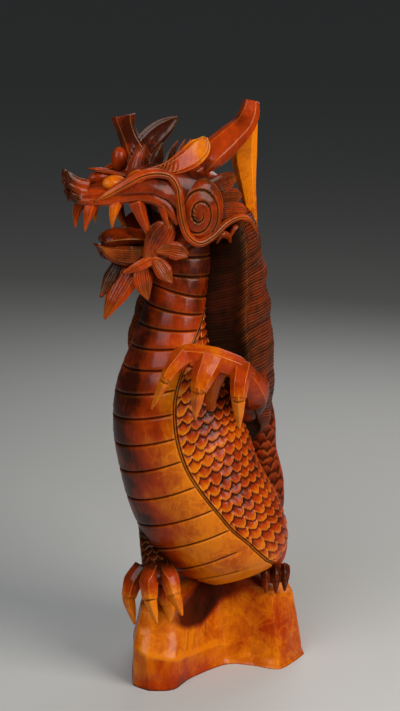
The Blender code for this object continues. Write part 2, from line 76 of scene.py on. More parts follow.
def head(forward, side, up):
    """A point given from the middle of the head: forward to the snout, side to the dragon's left."""
    right = HEAD_CENTRE[0] - forward * math.cos(HEAD_TURN) + side * math.sin(HEAD_TURN)
    away = HEAD_CENTRE[1] - forward * math.sin(HEAD_TURN) - side * math.cos(HEAD_TURN)
    return pose(right, away, up)


def unit(vectors):
    """The same directions, each one long."""
    return vectors / np.linalg.norm(vectors, axis=-1, keepdims=True)


def curve_through(stations, rows, at):
    """Rows of numbers on one smooth curve through the stations given, read at every place in at."""
    stations, rows, at = (np.asarray(values, float) for values in (stations, rows, at))
    gaps = np.diff(stations)[:, None]
    slopes = np.diff(rows, axis=0) / gaps
    lean = np.concatenate(
        [slopes[:1], (slopes[:-1] * gaps[1:] + slopes[1:] * gaps[:-1]) / (gaps[1:] + gaps[:-1]), slopes[-1:]]
    )
    low = np.clip(np.searchsorted(stations, at, side="right") - 1, 0, len(stations) - 2)
    gap = gaps[low]
    t = np.clip((at - stations[low])[..., None] / gap, 0, 1)
    blend_in = t * t * (3 - 2 * t)
    return (
        rows[low] * (1 - blend_in)
        + rows[low + 1] * blend_in
        + gap * t * (1 - t) * ((1 - t) * lean[low] - t * lean[low + 1])
    )


# %% [markdown]
# ## How a form becomes a mesh
# A sheet is a grid of points: rows run along the form, columns run round it. The knife's relief is
# one number for each point, and it moves the point along the sheet's normal. Where the surface then
# bends in, it is darkened, partly as stain gathered in the cut and partly as painted shade, and where
# it bends out, it is lightened, partly as varnish rubbed thin and partly as a painted highlight.
# Both are measured here once and kept on the mesh, so that the finish can read them in any renderer.

# %% Sheets, relief and pieces
pieces = []
SHORTEST_REACH = 0.4
HOLLOW_FROM, HOLLOW_DARKNESS, RIDGE_FROM = 0.1, 0.7, 0.25


def sheet_normals(grid, wrapped):
    """The unit normal of each grid point, facing away from the middle of its row."""
    along = np.gradient(grid, axis=0)
    if wrapped:
        around = np.roll(grid, -1, axis=1) - np.roll(grid, 1, axis=1)
    else:
        around = np.gradient(grid, axis=1)
    normal = np.cross(around, along)
    length = np.linalg.norm(normal, axis=-1, keepdims=True)
    normal = normal / np.maximum(length, 1e-12)
    outward = grid - grid.mean(axis=1, keepdims=True)
    return normal * np.sign((normal * outward).sum())


def bend(grid, normal, axis, wrapped):
    """How sharply the sheet bends along one axis, in bends per millimetre, above 0 where it bulges."""
    ahead, behind = np.roll(grid, -1, axis), np.roll(grid, 1, axis)
    if not wrapped:
        index = [slice(None)] * 3
        index[axis] = -1
        ahead[tuple(index)] = grid[tuple(index)]
        index[axis] = 0
        behind[tuple(index)] = grid[tuple(index)]
    to_here, onward = grid - behind, ahead - grid
    reach_back = np.linalg.norm(to_here, axis=-1, keepdims=True) + 1e-6
    reach_on = np.linalg.norm(onward, axis=-1, keepdims=True) + 1e-6
    turn = to_here / reach_back - onward / reach_on
    reach = (reach_back + reach_on)[..., 0] / MILLIMETRE
    return (turn * normal).sum(axis=-1) * 2 / np.maximum(reach, SHORTEST_REACH)


def carve(grid, relief):
    """A sheet that closes round, with the relief, in millimetres, pressed in along its normals."""
    return grid + sheet_normals(grid, True) * relief[..., None] * MILLIMETRE


def make_piece(name, grid, stain, cut=0.0, wrapped=True):
    """A mesh from a carved sheet. Stain runs from 0, red brown, to 1, honey, and cut darkens a line. On some
    pieces both also carry painted light and shade.

    A wrapped sheet is closed round and at both ends. Any other stays open.
    """
    rows, columns = grid.shape[:2]
    normal = sheet_normals(grid, wrapped)
    sharpness = bend(grid, normal, 0, False) + bend(grid, normal, 1, wrapped)
    numbers = np.arange(rows * columns).reshape(rows, columns)
    if wrapped:
        numbers = np.concatenate([numbers, numbers[:, :1]], axis=1)
    quads = np.stack([numbers[:-1, :-1], numbers[:-1, 1:], numbers[1:, 1:], numbers[1:, :-1]], axis=-1)
    faces = quads.reshape(-1, 4).tolist()
    points = grid.reshape(-1, 3)
    if wrapped:
        hubs = np.stack([grid[0].mean(axis=0), grid[-1].mean(axis=0)])
        points = np.concatenate([points, hubs])
        for row, hub in ((numbers[0], rows * columns), (numbers[-1][::-1], rows * columns + 1)):
            faces += [[int(b), int(a), hub] for a, b in zip(row, row[1:])]
    around = np.cross(grid[0, 1] - grid[0, 0], grid[1, 0] - grid[0, 0])
    if (normal[0, 0] * around).sum() < 0:
        faces = [face[::-1] for face in faces]
    mesh = bpy.data.meshes.new(name)
    mesh.from_pydata(points.tolist(), [], faces)
    mesh.polygons.foreach_set("use_smooth", [True] * len(faces))
    extra = len(points) - rows * columns
    # hollow darkens concave places, partly as stain gathered in cuts and partly as painted shade; ridge
    # lightens convex ones, partly as rubbed varnish and partly as a painted highlight.
    marks = {
        "stain": np.broadcast_to(stain, (rows, columns)),
        "hollow": np.clip(np.clip(-sharpness - HOLLOW_FROM, 0, 1) * HOLLOW_DARKNESS + cut, 0, 1),
        "ridge": np.clip(sharpness - RIDGE_FROM, 0, 1),
    }
    for mark, values in marks.items():
        attribute = mesh.attributes.new(mark, "FLOAT", "POINT")
        flat = np.concatenate([values.reshape(-1), np.full(extra, values.mean())])
        attribute.data.foreach_set("value", flat.astype(np.float32))
    piece = bpy.data.objects.new(name, mesh)
    bpy.context.scene.collection.objects.link(piece)
    pieces.append(piece)
    return piece


# %% [markdown]
# ## The knife's marks
# Three marks make up nearly all of the carving. A V tool leaves a line. A gouge leaves shallow
# scoops that meet in low ridges. A row of stop cuts, each pared away from below, leaves scales
# that overlap like roof tiles. Each is a small function of place, so any form can take it.

# %% Lines, scoops and scales
UNDERCUT = 0.14
TIP_LEAN, TIP_BOW, TIP_UNEVENNESS = -0.12, 0.62, 0.36
SHORTEST_SCALE = 0.2
FAR_OFF, SCOOP_CREST = 9.0, 1.2
# Large uneven numbers, so that neighbouring cells come out unlike each other.
CELL_MIX = np.array([[12.9898, 26.651, 54.53], [78.233, 36.37, 19.19], [37.719, 93.989, 71.13]])
CELL_SPREAD = 437.585453


def line_cut(distance, half_width):
    """A V tool's line: 1 at its bottom and 0 from half_width on."""
    return np.clip(1 - np.abs(distance) / half_width, 0, 1)


def hump(values, middle, width):
    """1 at the middle, falling away smoothly within about width on both sides."""
    return np.exp(-(((values - middle) / width) ** 2))


def to_nearest(values):
    """How far each number is from the nearest whole number."""
    return values - np.round(values)


def scatter(cells):
    """Three numbers between 0 and 1 for each cell, always the same ones for the same cell."""
    wave = np.sin(cells @ CELL_MIX) * CELL_SPREAD
    return wave - np.floor(wave)


def gouge_scoops(grid, size, depth):
    """The scoops a gouge leaves: -depth in the middle of each, about 0 on the ridges where they meet."""
    place = grid / (size * MILLIMETRE)
    cell = np.floor(place)
    nearest = np.full(place.shape[:-1], FAR_OFF)
    for step in itertools.product((-1, 0, 1), repeat=3):
        corner = cell + np.array(step)
        middle = corner + scatter(corner)
        nearest = np.minimum(nearest, ((place - middle) ** 2).sum(axis=-1))
    return -depth * (1 - np.clip(nearest, 0, SCOOP_CREST))


def scale_edge(across, row):
    """How far down one row of scales reaches at each place, with rounded tips, no two quite alike."""
    place, row = np.broadcast_arrays(across - 0.5 * np.mod(row, 2), row)
    off_tip = to_nearest(place) - TIP_LEAN
    reach = np.where(off_tip > 0, off_tip / (0.5 - TIP_LEAN), -off_tip / (0.5 + TIP_LEAN))
    uneven = scatter(np.stack([np.round(place), row, row * 0], axis=-1))[..., 0] - 0.5
    return row + 1 - TIP_BOW * reach**2 + TIP_UNEVENNESS * uneven * (1 - reach**2)


def scale_relief(across, down):
    """Overlapping scales, tips down: 0 at a scale's edge and -1 where it comes out from under the last."""
    relief = np.full(np.broadcast(across, down).shape, -1.0)
    found = np.zeros(relief.shape, bool)
    for ahead in (-1, 0, 1):
        row = np.floor(down) + ahead
        edge = scale_edge(across, row)
        last_edge = scale_edge(across, row - 1)
        here = (down <= edge) & ~found
        up_scale = np.clip((edge - down) / np.maximum(edge - last_edge, SHORTEST_SCALE), 0, 1)
        relief = np.where(here, -np.minimum(up_scale, (1 - up_scale) / UNDERCUT), relief)
        found |= here
    return relief


# %% [markdown]
# ## The trunk
# The body is one egg-shaped trunk that narrows into the neck. A band of smooth plates runs down
# the belly inside a double line, and scales cover the flanks. The sheet's rows follow the tilted
# lines between the plates, and its columns follow the band's borders, so both kinds of line stay
# crisp with few points. Columns and rows crowd together only where a line is cut.

# %% The trunk's sheet
BODY_SLICES = [
    (70, -8, 12, 4, 12),
    (75, -20, 27, 4, 25),
    (82, -36, 43, 4, 37),
    (92, -49, 55, 4, 47),
    (104, -60, 62, 4, 56),
    (121, -69, 63, 3, 61),
    (150, -80, 54, 0, 63),
    (181, -87, 38, -4, 61),
    (219, -92, 25, -8, 57),
    (261, -88, 7, -10, 47),
    (296, -75, -6, -8, 36),
    (331, -63, -9, -5, 29),
    (363, -60, -5, 0, 27),
    (400, -56, -8, 4, 26),
    (420, -54, -10, 4, 22),
]
BELLY_BORDERS = [
    (76, -66, 96),
    (90, -46, 93),
    (104, -33, 90),
    (118, -25, 86),
    (133, -18, 84),
    (147, -14, 82),
    (170, -8, 80),
    (200, -1, 80),
    (234, 0, 82),
    (262, -7, 86),
    (292, -28, 90),
    (325, -62, 94),
    (345, -80, 98),
    (375, -88, 100),
]
PLATE_LINES = [
    (92, 17),
    (111, 26),
    (133, 25),
    (155, 24),
    (179, 23),
    (204, 22),
    (224, 17),
    (244, 12),
    (263, 9),
    (280, 4),
    (296, 2),
    (311, -2),
    (326, -5),
    (342, -7),
    (356, -3),
    (372, -2),
]
BODY_TOP, BODY_BOTTOM = 412, 77
PLATE_LINE_HALF_WIDTH, PLATE_LINE_DEPTH = 1.35, 1.8
BORDER_HALF_WIDTH, BORDER_DEPTH = 2.3, 2.4
SCALE_WIDTH, SCALE_ROW, SCALE_DEPTH = 12.5, 8.6, 2.3

BELLY_COLUMNS, BACK_COLUMNS, ROW_GAP, LINE_REACH = 112, 250, 1.25, 1.6
slices = np.array(BODY_SLICES, float)
borders = np.array(BELLY_BORDERS, float)
plate_lines = np.array(PLATE_LINES, float)


def trunk_rows():
    """Heights for the rows: close together by each plate line, about a millimetre apart between."""
    close = np.array([-1.1, -0.7, -0.35, 0.0, 0.35, 0.7, 1.1])
    rows = []
    edges = [BODY_BOTTOM, *plate_lines[:, 0], BODY_TOP]
    for low, high in zip(edges, edges[1:]):
        count = max(2, round((high - low - 2 * LINE_REACH) / ROW_GAP))
        rows += list(np.linspace(low + LINE_REACH, high - LINE_REACH, count + 1))
        if high < BODY_TOP:
            rows += list(high + close)
    return np.array(rows)


def border_columns(count, reach):
    """Shares from 0 to 1, crowded near both ends within reach."""
    close = np.linspace(0, reach, 9)
    return np.concatenate([close[:-1], np.linspace(reach, 1 - reach, count), (1 - close[:-1])[::-1]])


def trunk_sheet():
    """The trunk's points, with each point's share of the belly band and its millimetres from a border."""
    ups = trunk_rows()[:, None]
    lift = np.interp(ups, plate_lines[:, 0], plate_lines[:, 1])
    near, far = np.moveaxis(curve_through(borders[:, 0], borders[:, 1:], ups), -1, 0)
    belly = border_columns(BELLY_COLUMNS, 0.035)[None, :]
    back = border_columns(BACK_COLUMNS, 0.012)[None, 1:-1]
    bearing = np.concatenate([near + (far - near) * belly, far + (360 + near - far) * back], axis=1)
    angle = np.radians(bearing)
    up = ups - lift * np.sin(angle)
    left, right, away, depth = np.moveaxis(curve_through(slices[:, 0], slices[:, 1:], up), -1, 0)
    grid = pose(
        (left + right) / 2 - (right - left) / 2 * np.sin(angle), away - depth * np.cos(angle), up
    )
    girth = curve_through(slices[:, 0], slices[:, 1:], ups)[..., 3]
    from_near = np.where(bearing > far, 360 + near - bearing, bearing - near)
    from_far = np.abs(bearing - far)
    to_border = np.radians(np.minimum(from_near, from_far)) * girth
    return grid, ups, bearing, belly.shape[1], to_border, np.radians(from_near) * girth


trunk, trunk_ups, trunk_bearing, belly_columns, to_border, past_near_border = trunk_sheet()
print("the trunk's sheet:", trunk.shape[0], "rows by", trunk.shape[1], "columns")

# %% [markdown]
# The belly's lines are V cuts, and the lowest ones start a way in from the border. The plates swell
# a little between them. The scales are counted from the border, because on the real carving their
# columns run beside it. Their rows wander a little, and no two tips are quite alike. The belly is
# painted from honey at its foot to red brown at the throat, as painted shade under the head, with
# painted shade on its far side, painted light on its near side, and on the neck a patch that is
# partly ochre stain and partly painted glare. The scales' tips are painted lighter and their roots
# darker, as painted light and painted shadow under the row above.

# %% The trunk's carving
BAND_RADIUS, BAND_WIDTH = 60, 90
PLATE_SWELL, PLATE_SWELL_REACH = 0.35, 2.5
BORDER_RIB_HEIGHT, BORDER_RIB_WIDTH = 1.1, 0.5
# Painted shade under the head and on the far side, painted light on the near side, and a neck patch that is
# partly ochre stain and partly painted glare.
FOOT_STAIN, THROAT_SHADE, FAR_SIDE_SHADE, NEAR_SIDE_LIGHT, NECK_OCHRE_AND_GLARE = 0.86, 0.85, 0.5, 0.3, 0.18
FLANK_STAIN, FLANK_LOSS, BORDER_GAIN, SCALE_TIP_LIGHT = 0.36, 0.3, 0.35, 0.8

to_line = np.abs(trunk_ups - plate_lines[:, 0]).min(axis=1)[:, None]
on_belly = np.arange(trunk.shape[1])[None, :] < belly_columns
belly_share = np.clip(np.radians(trunk_bearing - trunk_bearing[:, :1]) * BAND_RADIUS / BAND_WIDTH, 0, 1)
line_start = np.clip((125 - trunk_ups) / 110, 0, 0.32)
plate_fade = np.clip((belly_share - line_start) / 0.06, 0, 1)
plate_relief = -PLATE_LINE_DEPTH * line_cut(to_line, PLATE_LINE_HALF_WIDTH) * plate_fade
plate_relief = plate_relief - PLATE_SWELL * np.exp(-to_line / PLATE_SWELL_REACH)
wander_across = 0.16 * np.sin(trunk_ups / 21 + 1)
wander_down = 0.2 * np.sin(past_near_border / 15)
scales = scale_relief(past_near_border / SCALE_WIDTH + wander_across, wander_down - trunk_ups / SCALE_ROW)
scale_fade = np.clip((to_border - 1.5) / 2.0, 0, 1)
trunk_relief = np.where(on_belly, plate_relief, SCALE_DEPTH * scales * scale_fade)
border_line = -BORDER_DEPTH * line_cut(to_border, BORDER_HALF_WIDTH)
border_line = border_line + BORDER_RIB_HEIGHT * hump(to_border, 0, BORDER_RIB_WIDTH)
trunk_relief = np.where(to_border < BORDER_HALF_WIDTH, np.minimum(trunk_relief, border_line), trunk_relief)
carved_trunk = carve(trunk, trunk_relief)

height_share = np.clip((trunk_ups - 90) / 280, 0, 1)
leftness = np.clip((trunk_bearing - 18 - 20 * height_share) / 30, 0, 1)
by_near_side = hump(trunk_bearing, trunk_bearing[:, :1], 26)
neck_patch = hump(trunk_ups, 318, 30)
# The belly's tone: honey at the foot, then the painted shade and painted light set above.
belly_tone_and_shading = FOOT_STAIN - THROAT_SHADE * height_share - FAR_SIDE_SHADE * leftness
belly_tone_and_shading = belly_tone_and_shading + NEAR_SIDE_LIGHT * by_near_side * np.sin(np.pi * height_share)
belly_tone_and_shading = np.clip(belly_tone_and_shading + NECK_OCHRE_AND_GLARE * neck_patch, 0.05, 1)
by_border = np.exp(-past_near_border / 22)
flank_tone_and_shading = FLANK_STAIN - FLANK_LOSS * height_share + BORDER_GAIN * by_border
# The scales' tips are painted lighter and their roots darker: painted light and painted shadow.
flank_tone_and_shading = np.clip(flank_tone_and_shading + SCALE_TIP_LIGHT * (scales + 0.5), 0, 1)
trunk_tone_and_shading = np.where(on_belly, belly_tone_and_shading, flank_tone_and_shading)

back_split = belly_columns + (trunk.shape[1] - belly_columns) // 2
trunk_parts = {
    "trunk_belly": list(range(0, belly_columns)),
    "trunk_far_flank": list(range(belly_columns - 1, back_split + 1)),
    "trunk_near_flank": list(range(back_split, trunk.shape[1])) + [0],
}
plate_cut = line_cut(to_line, 0.95) * on_belly * plate_fade
border_cut = line_cut(to_border - 1.1, 1.0)
# Painted shadow just under the edge of each row of scales.
scale_shadow = np.clip(-scales * 3.0 - 1.9, 0, 0.85) * scale_fade * ~on_belly
trunk_cuts_and_shadow = np.maximum(np.maximum(plate_cut, border_cut), scale_shadow)
for name, kept in trunk_parts.items():
    made = make_piece(name, carved_trunk[:, kept], trunk_tone_and_shading[:, kept], trunk_cuts_and_shadow[:, kept], False)
    print(name, len(made.data.polygons), "faces")

# %% [markdown]
# ## The mane
# Behind the neck the log is left wide, as a mantle of hair that stands out in a ridge on each
# side. Its strands are long V cuts that lie level across the outer faces, fall away from the neck
# on the faces that look forward, and gather into locks with scalloped edges.

# %% The mane's sheet
MANE_LEVELS = [
    (198, (30, 16), (36, 26), (-8, 44)),
    (214, (38, -2), (45, 24), (-36, 38)),
    (232, (34, -20), (49, 28), (-50, 36)),
    (252, (29, -30), (51, 30), (-62, 34)),
    (273, (27, -34), (50, 30), (-72, 32)),
    (291, (26, -34), (50, 29), (-80, 30)),
    (305, (24, -34), (47, 28), (-76, 30)),
    (322, (23, -33), (47, 26), (-72, 29)),
    (336, (24, -32), (43, 25), (-66, 28)),
    (352, (24, -30), (43, 23), (-62, 27)),
    (366, (24, -28), (39, 22), (-58, 26)),
    (386, (23, -22), (36, 18), (-52, 22)),
    (400, (19, -14), (31, 14), (-46, 22)),
    (410, (10, -6), (24, 10), (-42, 20)),
    (417, (2, -2), (14, 6), (-38, 16)),
]
STRAND_PITCH, STRAND_DEPTH, LOCK_HEIGHT = 2.6, 0.6, 1.2
LOCK_EDGES = [198, 232, 262, 291, 312, 340, 366, 392, 417]
LOCK_TILTS = ([198, 245, 285, 360, 417], [3.0, 2.0, 0.2, -1.2, -1.8])
# Columns between places round the outline, from the near root by way of the back to the far root.
MANE_RUNS = [(0, 4, 88), (4, 9, 70), (9, 12, 42)]
MANE_SPLIT = 123


def mane_plan(up, near_ridge, corner, far_ridge):
    """The mane's outline at one height, as right and away pairs."""
    left, right, away, depth = curve_through(slices[:, 0], slices[:, 1:], up)
    half_width, middle = (right - left) / 2, (right + left) / 2
    return [
        (middle + half_width * 0.55, away - depth * 0.15),
        (near_ridge[0] * 0.6 + (middle + half_width) * 0.4, near_ridge[1] * 0.75 - 1),
        near_ridge,
        (near_ridge[0] * 0.45 + corner[0] * 0.55 + 3, (near_ridge[1] + corner[1]) / 2),
        corner,
        (corner[0] - 14, corner[1] + 17),
        ((corner[0] + far_ridge[0]) / 2 + 6, corner[1] + 37),
        (far_ridge[0] * 0.6 + 4, far_ridge[1] + 20),
        (far_ridge[0] + 6, far_ridge[1] + 13),
        far_ridge,
        (far_ridge[0] * 0.5 + (middle - half_width) * 0.5, far_ridge[1] - 14),
        (middle - half_width * 0.55, away + depth * 0.1),
    ]


mane_ups = np.array([level[0] for level in MANE_LEVELS], float)
mane_plans = np.array([mane_plan(*level) for level in MANE_LEVELS])
mane_ring = np.concatenate([mane_plans[:, -2:], mane_plans, mane_plans[:, :2]], axis=1)
mane_rows = np.linspace(mane_ups[0], mane_ups[-1], 420)
mane_columns = np.concatenate([np.linspace(*run, endpoint=False) for run in MANE_RUNS])
ring_rows = curve_through(mane_ups, mane_ring.reshape(len(mane_ups), -1), mane_rows)
ring_rows = ring_rows.reshape(len(mane_rows), -1, 2)
corners = np.arange(-2, 14)
smooth_plan = curve_through(corners, ring_rows.transpose(1, 0, 2).reshape(len(corners), -1), mane_columns)
smooth_plan = smooth_plan.reshape(len(mane_columns), len(mane_rows), 2).transpose(1, 0, 2)
straight_plan = np.stack(
    [
        np.stack([np.interp(mane_columns, corners, row[:, axis]) for row in ring_rows])
        for axis in (0, 1)
    ],
    axis=-1,
)
mane_outline = smooth_plan * 0.5 + straight_plan * 0.5
mane = pose(mane_outline[..., 0], mane_outline[..., 1], mane_rows[:, None])
print("the mane's sheet:", mane.shape[0], "rows by", mane.shape[1], "columns")

# %% [markdown]
# A strand is a cut at a steady pitch along a line that slopes and wavers. The surface swells
# between the edges of the locks, the strands tilt from lock to lock, and they bite more or less
# deeply, as the hand presses. The faces that look forward, beside the neck, are darkest, with
# painted shade, the outer faces are painted a little lighter, as lit, and painted shade also
# darkens the mane where it meets the neck.

# %% The mane's carving
columns = mane_columns[None, :]
ups = mane_rows[:, None]
lock_number = np.interp(ups, LOCK_EDGES, np.arange(len(LOCK_EDGES)))
in_lock = lock_number - np.floor(lock_number)
lock_bulge = np.sin(np.pi * in_lock) ** 0.6
side_face = hump(columns, 3.2, 1.6) + hump(columns, 8.6, 1.6)
front_slope = np.clip(2.2 - columns, 0, 2.2) * 9.0
far_front_slope = np.clip(columns - 9.2, 0, 2.8) * 7.0
waver = 0.5 * np.sin(columns * 2.1 + ups / 17) + 0.4 * np.sin(columns * 4.7 - ups / 9)
lock_tilt = np.interp(ups, *LOCK_TILTS) * np.clip(columns - 2, 0, 2)
strand_phase = (ups + front_slope + far_front_slope + waver + lock_tilt) / STRAND_PITCH
strand = line_cut(to_nearest(strand_phase), 0.36)
wide_strand = line_cut(to_nearest(strand_phase / 3 + 0.2), 0.1)
bite = 0.75 + 0.4 * np.sin(np.round(strand_phase) * 2.4)
mane_relief = -STRAND_DEPTH * strand * bite - 0.4 * wide_strand
mane_relief = mane_relief + LOCK_HEIGHT * (lock_bulge - 0.85) * side_face
by_neck = hump(columns, 0, 0.35) + hump(columns, 12, 0.35)
carved_mane = carve(mane, mane_relief)
facing_forward = hump(columns, 1.0, 0.9)
# Painted shade on the forward faces and a little painted light on the outer faces.
mane_tone_and_shading = 0.16 - 0.16 * facing_forward + 0.08 * side_face + 0.06 * np.sin(strand_phase * 1.3)
mane_tone_and_shading = np.clip(mane_tone_and_shading, 0, 1)
# Over the strand lines, painted shade on the forward faces and where the mane meets the neck.
mane_cuts_and_shade = np.clip(0.3 + strand * bite * 0.4 + 0.45 * np.clip(facing_forward, 0, 0.9) + by_neck, 0, 1)
mane_halves = {
    "mane_near_side": list(range(MANE_SPLIT + 1)),
    "mane_far_side": list(range(MANE_SPLIT, mane.shape[1])) + [0],
}
for name, kept in mane_halves.items():
    made = make_piece(name, carved_mane[:, kept], mane_tone_and_shading[:, kept], mane_cuts_and_shade[:, kept], False)
    print(name, len(made.data.polygons), "faces")

# %% [markdown]
# ## Forms round a line
# Limbs, leaves, horns and fingers are all one kind of form: a section that changes as it runs
# along a spine. A knife leaves flats with crisp edges between them, so the section is a polygon
# whose corners are only a little softened: a slab for horns and palms, a ridged one for claws and
# toes, and a leaf for petals and bands. What was sanded round is an oval. One function makes the
# sheet, a carving says what is cut, and a dish hollows the broad side inside a thin rim.

# %% Sections
TOWARD = pose(0, -1, 0) / MILLIMETRE
COLUMN_SPACING, ROW_SPACING = 1.25, 1.25
SECTIONS = {
    "slab": [(1, 0), (0.62, 1), (-0.62, 1), (-1, 0), (-0.62, -1), (0.62, -1)],
    "ridged": [(1, 0), (0.5, 0.62), (0, 1), (-0.5, 0.62), (-1, 0), (-0.5, -0.62), (0, -1), (0.5, -0.62)],
    "leaf": [(1, 0), (0.55, 0.7), (0, 0.8), (-0.55, 0.7), (-1, 0), (-0.55, -0.7), (0, -0.8), (0.55, -0.7)],
}
SOFTENED = 0.22


def section(kind, turn):
    """Across and proud, both from -1 to 1, at each turn round a section."""
    oval_across, oval_proud = np.cos(turn), np.sign(np.sin(turn)) * np.abs(np.sin(turn)) ** 0.85
    if kind == "oval":
        return oval_across, oval_proud
    corners = np.array(SECTIONS[kind] + SECTIONS[kind][:1], float)
    place = turn / math.tau * (len(corners) - 1)
    across, proud = (np.interp(place, np.arange(len(corners)), corners[:, axis]) for axis in (0, 1))
    return (
        across * (1 - SOFTENED) + oval_across * SOFTENED,
        proud * (1 - SOFTENED) + oval_proud * SOFTENED,
    )


# %% Limbs and blades
THINNEST, NARROWEST, POLE_GAP = 0.15, 0.3, 0.03
BLADE_ROWS, BLADE_COLUMNS = (12, 170), (24, 96)
# A step of 24 puts a column on each corner of a section with six or eight corners.
COLUMN_STEP, COLUMNS_TO_A_LINE = 24, 9


def along_spine(spine, values, rows, straight):
    """The spine's points and the values beside them, evenly spaced. Straight says how much is chords."""
    spine, values = np.array(spine, float), np.array(values, float)
    both = np.concatenate([spine, values], axis=1)
    reach = np.concatenate([[0], np.cumsum(np.linalg.norm(np.diff(spine, axis=0), axis=1))])
    place = np.linspace(0, reach[-1], rows)
    curved = curve_through(reach, both, place)
    chords = np.stack([np.interp(place, reach, column) for column in both.T], axis=1)
    mixed = curved * (1 - straight) + chords * straight
    return mixed[:, :3], mixed[:, 3:]


def blade(
    name,
    spine,
    widths,
    thicknesses,
    facing,
    stain,
    carving=None,
    fineness=1.0,
    kind="slab",
    straight=0.0,
    lines=0,
    dish=0.0,
):
    """A form along a spine. Facing is where its broad side looks, and a pair of stains runs root to tip."""
    chord = sum(np.linalg.norm(np.subtract(b, a)) for a, b in zip(spine, spine[1:])) / MILLIMETRE
    rows = int(np.clip(chord / ROW_SPACING * fineness, *BLADE_ROWS))
    girth = 2.2 * (max(widths) + max(thicknesses) * 0.5)
    columns = int(np.clip(girth / COLUMN_SPACING * fineness, *BLADE_COLUMNS))
    columns = max(columns, lines * COLUMNS_TO_A_LINE) // COLUMN_STEP * COLUMN_STEP + COLUMN_STEP
    path, sizes = along_spine(spine, np.stack([widths, thicknesses], axis=1), rows, straight)
    ahead = np.gradient(path, axis=0)
    side = unit(np.cross(ahead, facing))
    front = unit(np.cross(side, ahead))
    turn = np.arange(columns) / columns * math.tau
    across, proud = section(kind, turn)
    half = np.maximum(sizes, THINNEST) / 2 * MILLIMETRE
    grid = (
        path[:, None]
        + side[:, None] * half[:, :1, None] * across[None, :, None]
        + front[:, None] * half[:, 1:, None] * proud[None, :, None]
    )
    share = np.linspace(0, 1, rows)[:, None]
    if isinstance(stain, tuple):
        stain = stain[0] + (stain[1] - stain[0]) * share
    width = np.maximum(sizes[:, :1], NARROWEST)
    relief = gouge_scoops(grid, 7.0, 0.3)
    relief = relief - dish * (np.clip(1 - (across / 0.75) ** 2, 0, 1) * (proud > 0))[None, :]
    cut = np.zeros(relief.shape)
    if carving:
        line = carving(share, across[None, :], width, proud[None, :])
        relief = relief + line
        cut = np.clip(-line * 0.9, 0, 0.9)
    fade = np.clip(width / 5, 0, 1) * np.clip(np.abs(proud) * 2, 0.25, 1)[None, :]
    return make_piece(name, carve(grid, relief * fade), stain, cut=cut * fade)


def limb(name, spine, radii, stain, carving=None, fineness=1.0, kind="oval", straight=0.0):
    """A round form along a spine."""
    sizes = [radius * 2 for radius in radii]
    return blade(name, spine, sizes, sizes, TOWARD, stain, carving, fineness, kind, straight)


def boss(name, centre, radii, stain, facing=(0, 0, 1), carving=None, fineness=1.0):
    """A rounded lump: a ball pressed to three half sizes, the last along facing."""
    facing = np.array(facing, float)
    facing /= np.linalg.norm(facing)
    sideways = np.cross((0, 0, 1), facing)
    if np.linalg.norm(sideways) < 0.1:
        sideways = np.array([1.0, 0.0, 0.0])
    sideways /= np.linalg.norm(sideways)
    upward = np.cross(facing, sideways)
    rows = int(np.clip(max(radii) * 2.0 * fineness, 14, 70))
    columns = int(np.clip(max(radii) * 4.0 * fineness, 24, 130))
    polar = np.linspace(POLE_GAP, math.pi - POLE_GAP, rows)[:, None]
    turn = np.linspace(0, math.tau, columns, endpoint=False)[None, :]
    grid = (
        centre
        + (sideways * radii[0] * MILLIMETRE) * (np.sin(polar) * np.cos(turn))[..., None]
        + (upward * radii[1] * MILLIMETRE) * (np.sin(polar) * np.sin(turn))[..., None]
        + (facing * radii[2] * MILLIMETRE) * (np.cos(polar) * np.ones_like(turn))[..., None]
    )
    relief = gouge_scoops(grid, 8.0, 0.4)
    cut = np.zeros(relief.shape)
    if carving:
        line = carving(polar, turn)
        relief = relief + line
        cut = np.clip(-line * 0.8, 0, 0.9)
    return make_piece(name, carve(grid, relief), stain, cut=cut)


def veined(lines, depth=0.17):
    """A leaf's carving: fine veins that run together at the tip."""

    def carving(share, across, width, front):
        veins = line_cut(to_nearest((across + 1) / 2 * lines), 0.26) * (np.abs(across) < 0.88)
        return -depth * veins * (np.abs(front) > 0.1) * np.clip(width / 9, 0, 1)

    return carving


def scaled(width, row, depth):
    """Scales round a limb."""

    def carving(share, across, limb_width, front):
        around = np.arctan2(front, across) / math.tau * 3.14 * limb_width / width
        return depth * scale_relief(around, share * row)

    return carving


# %% [markdown]
# ## The tail
# The tail rolls up the dragon's back and ends in the mane. It is out of sight from the front, so
# its scales are larger and shallower than those on the flanks.

# %% The tail
tail = [(22, 22, 108), (40, 38, 122), (44, 42, 150), (38, 40, 182), (37, 34, 214), (34, 30, 240)]
limb("tail", posed(tail), [22, 19, 17, 16, 15, 12], 0.3, scaled(12, 17, 1.2), 0.8)

# %% [markdown]
# ## The rock
# The plinth is the foot of the log, hewn into a rock with steep walls and a cove under the belly.
# Broad gouge scoops over straight walls read as hewn stone. The corners are worn round at the
# front and sharper at the back. A ridge, a scooped shelf and three stop cuts mark the front left.
# Painted shade darkens the ledge behind the toes and the low facet under the ridge, and a painted
# highlight runs along the ridge. The relief moves the points straight out from the log's
# axis, because normals cross each other at sharp corners.

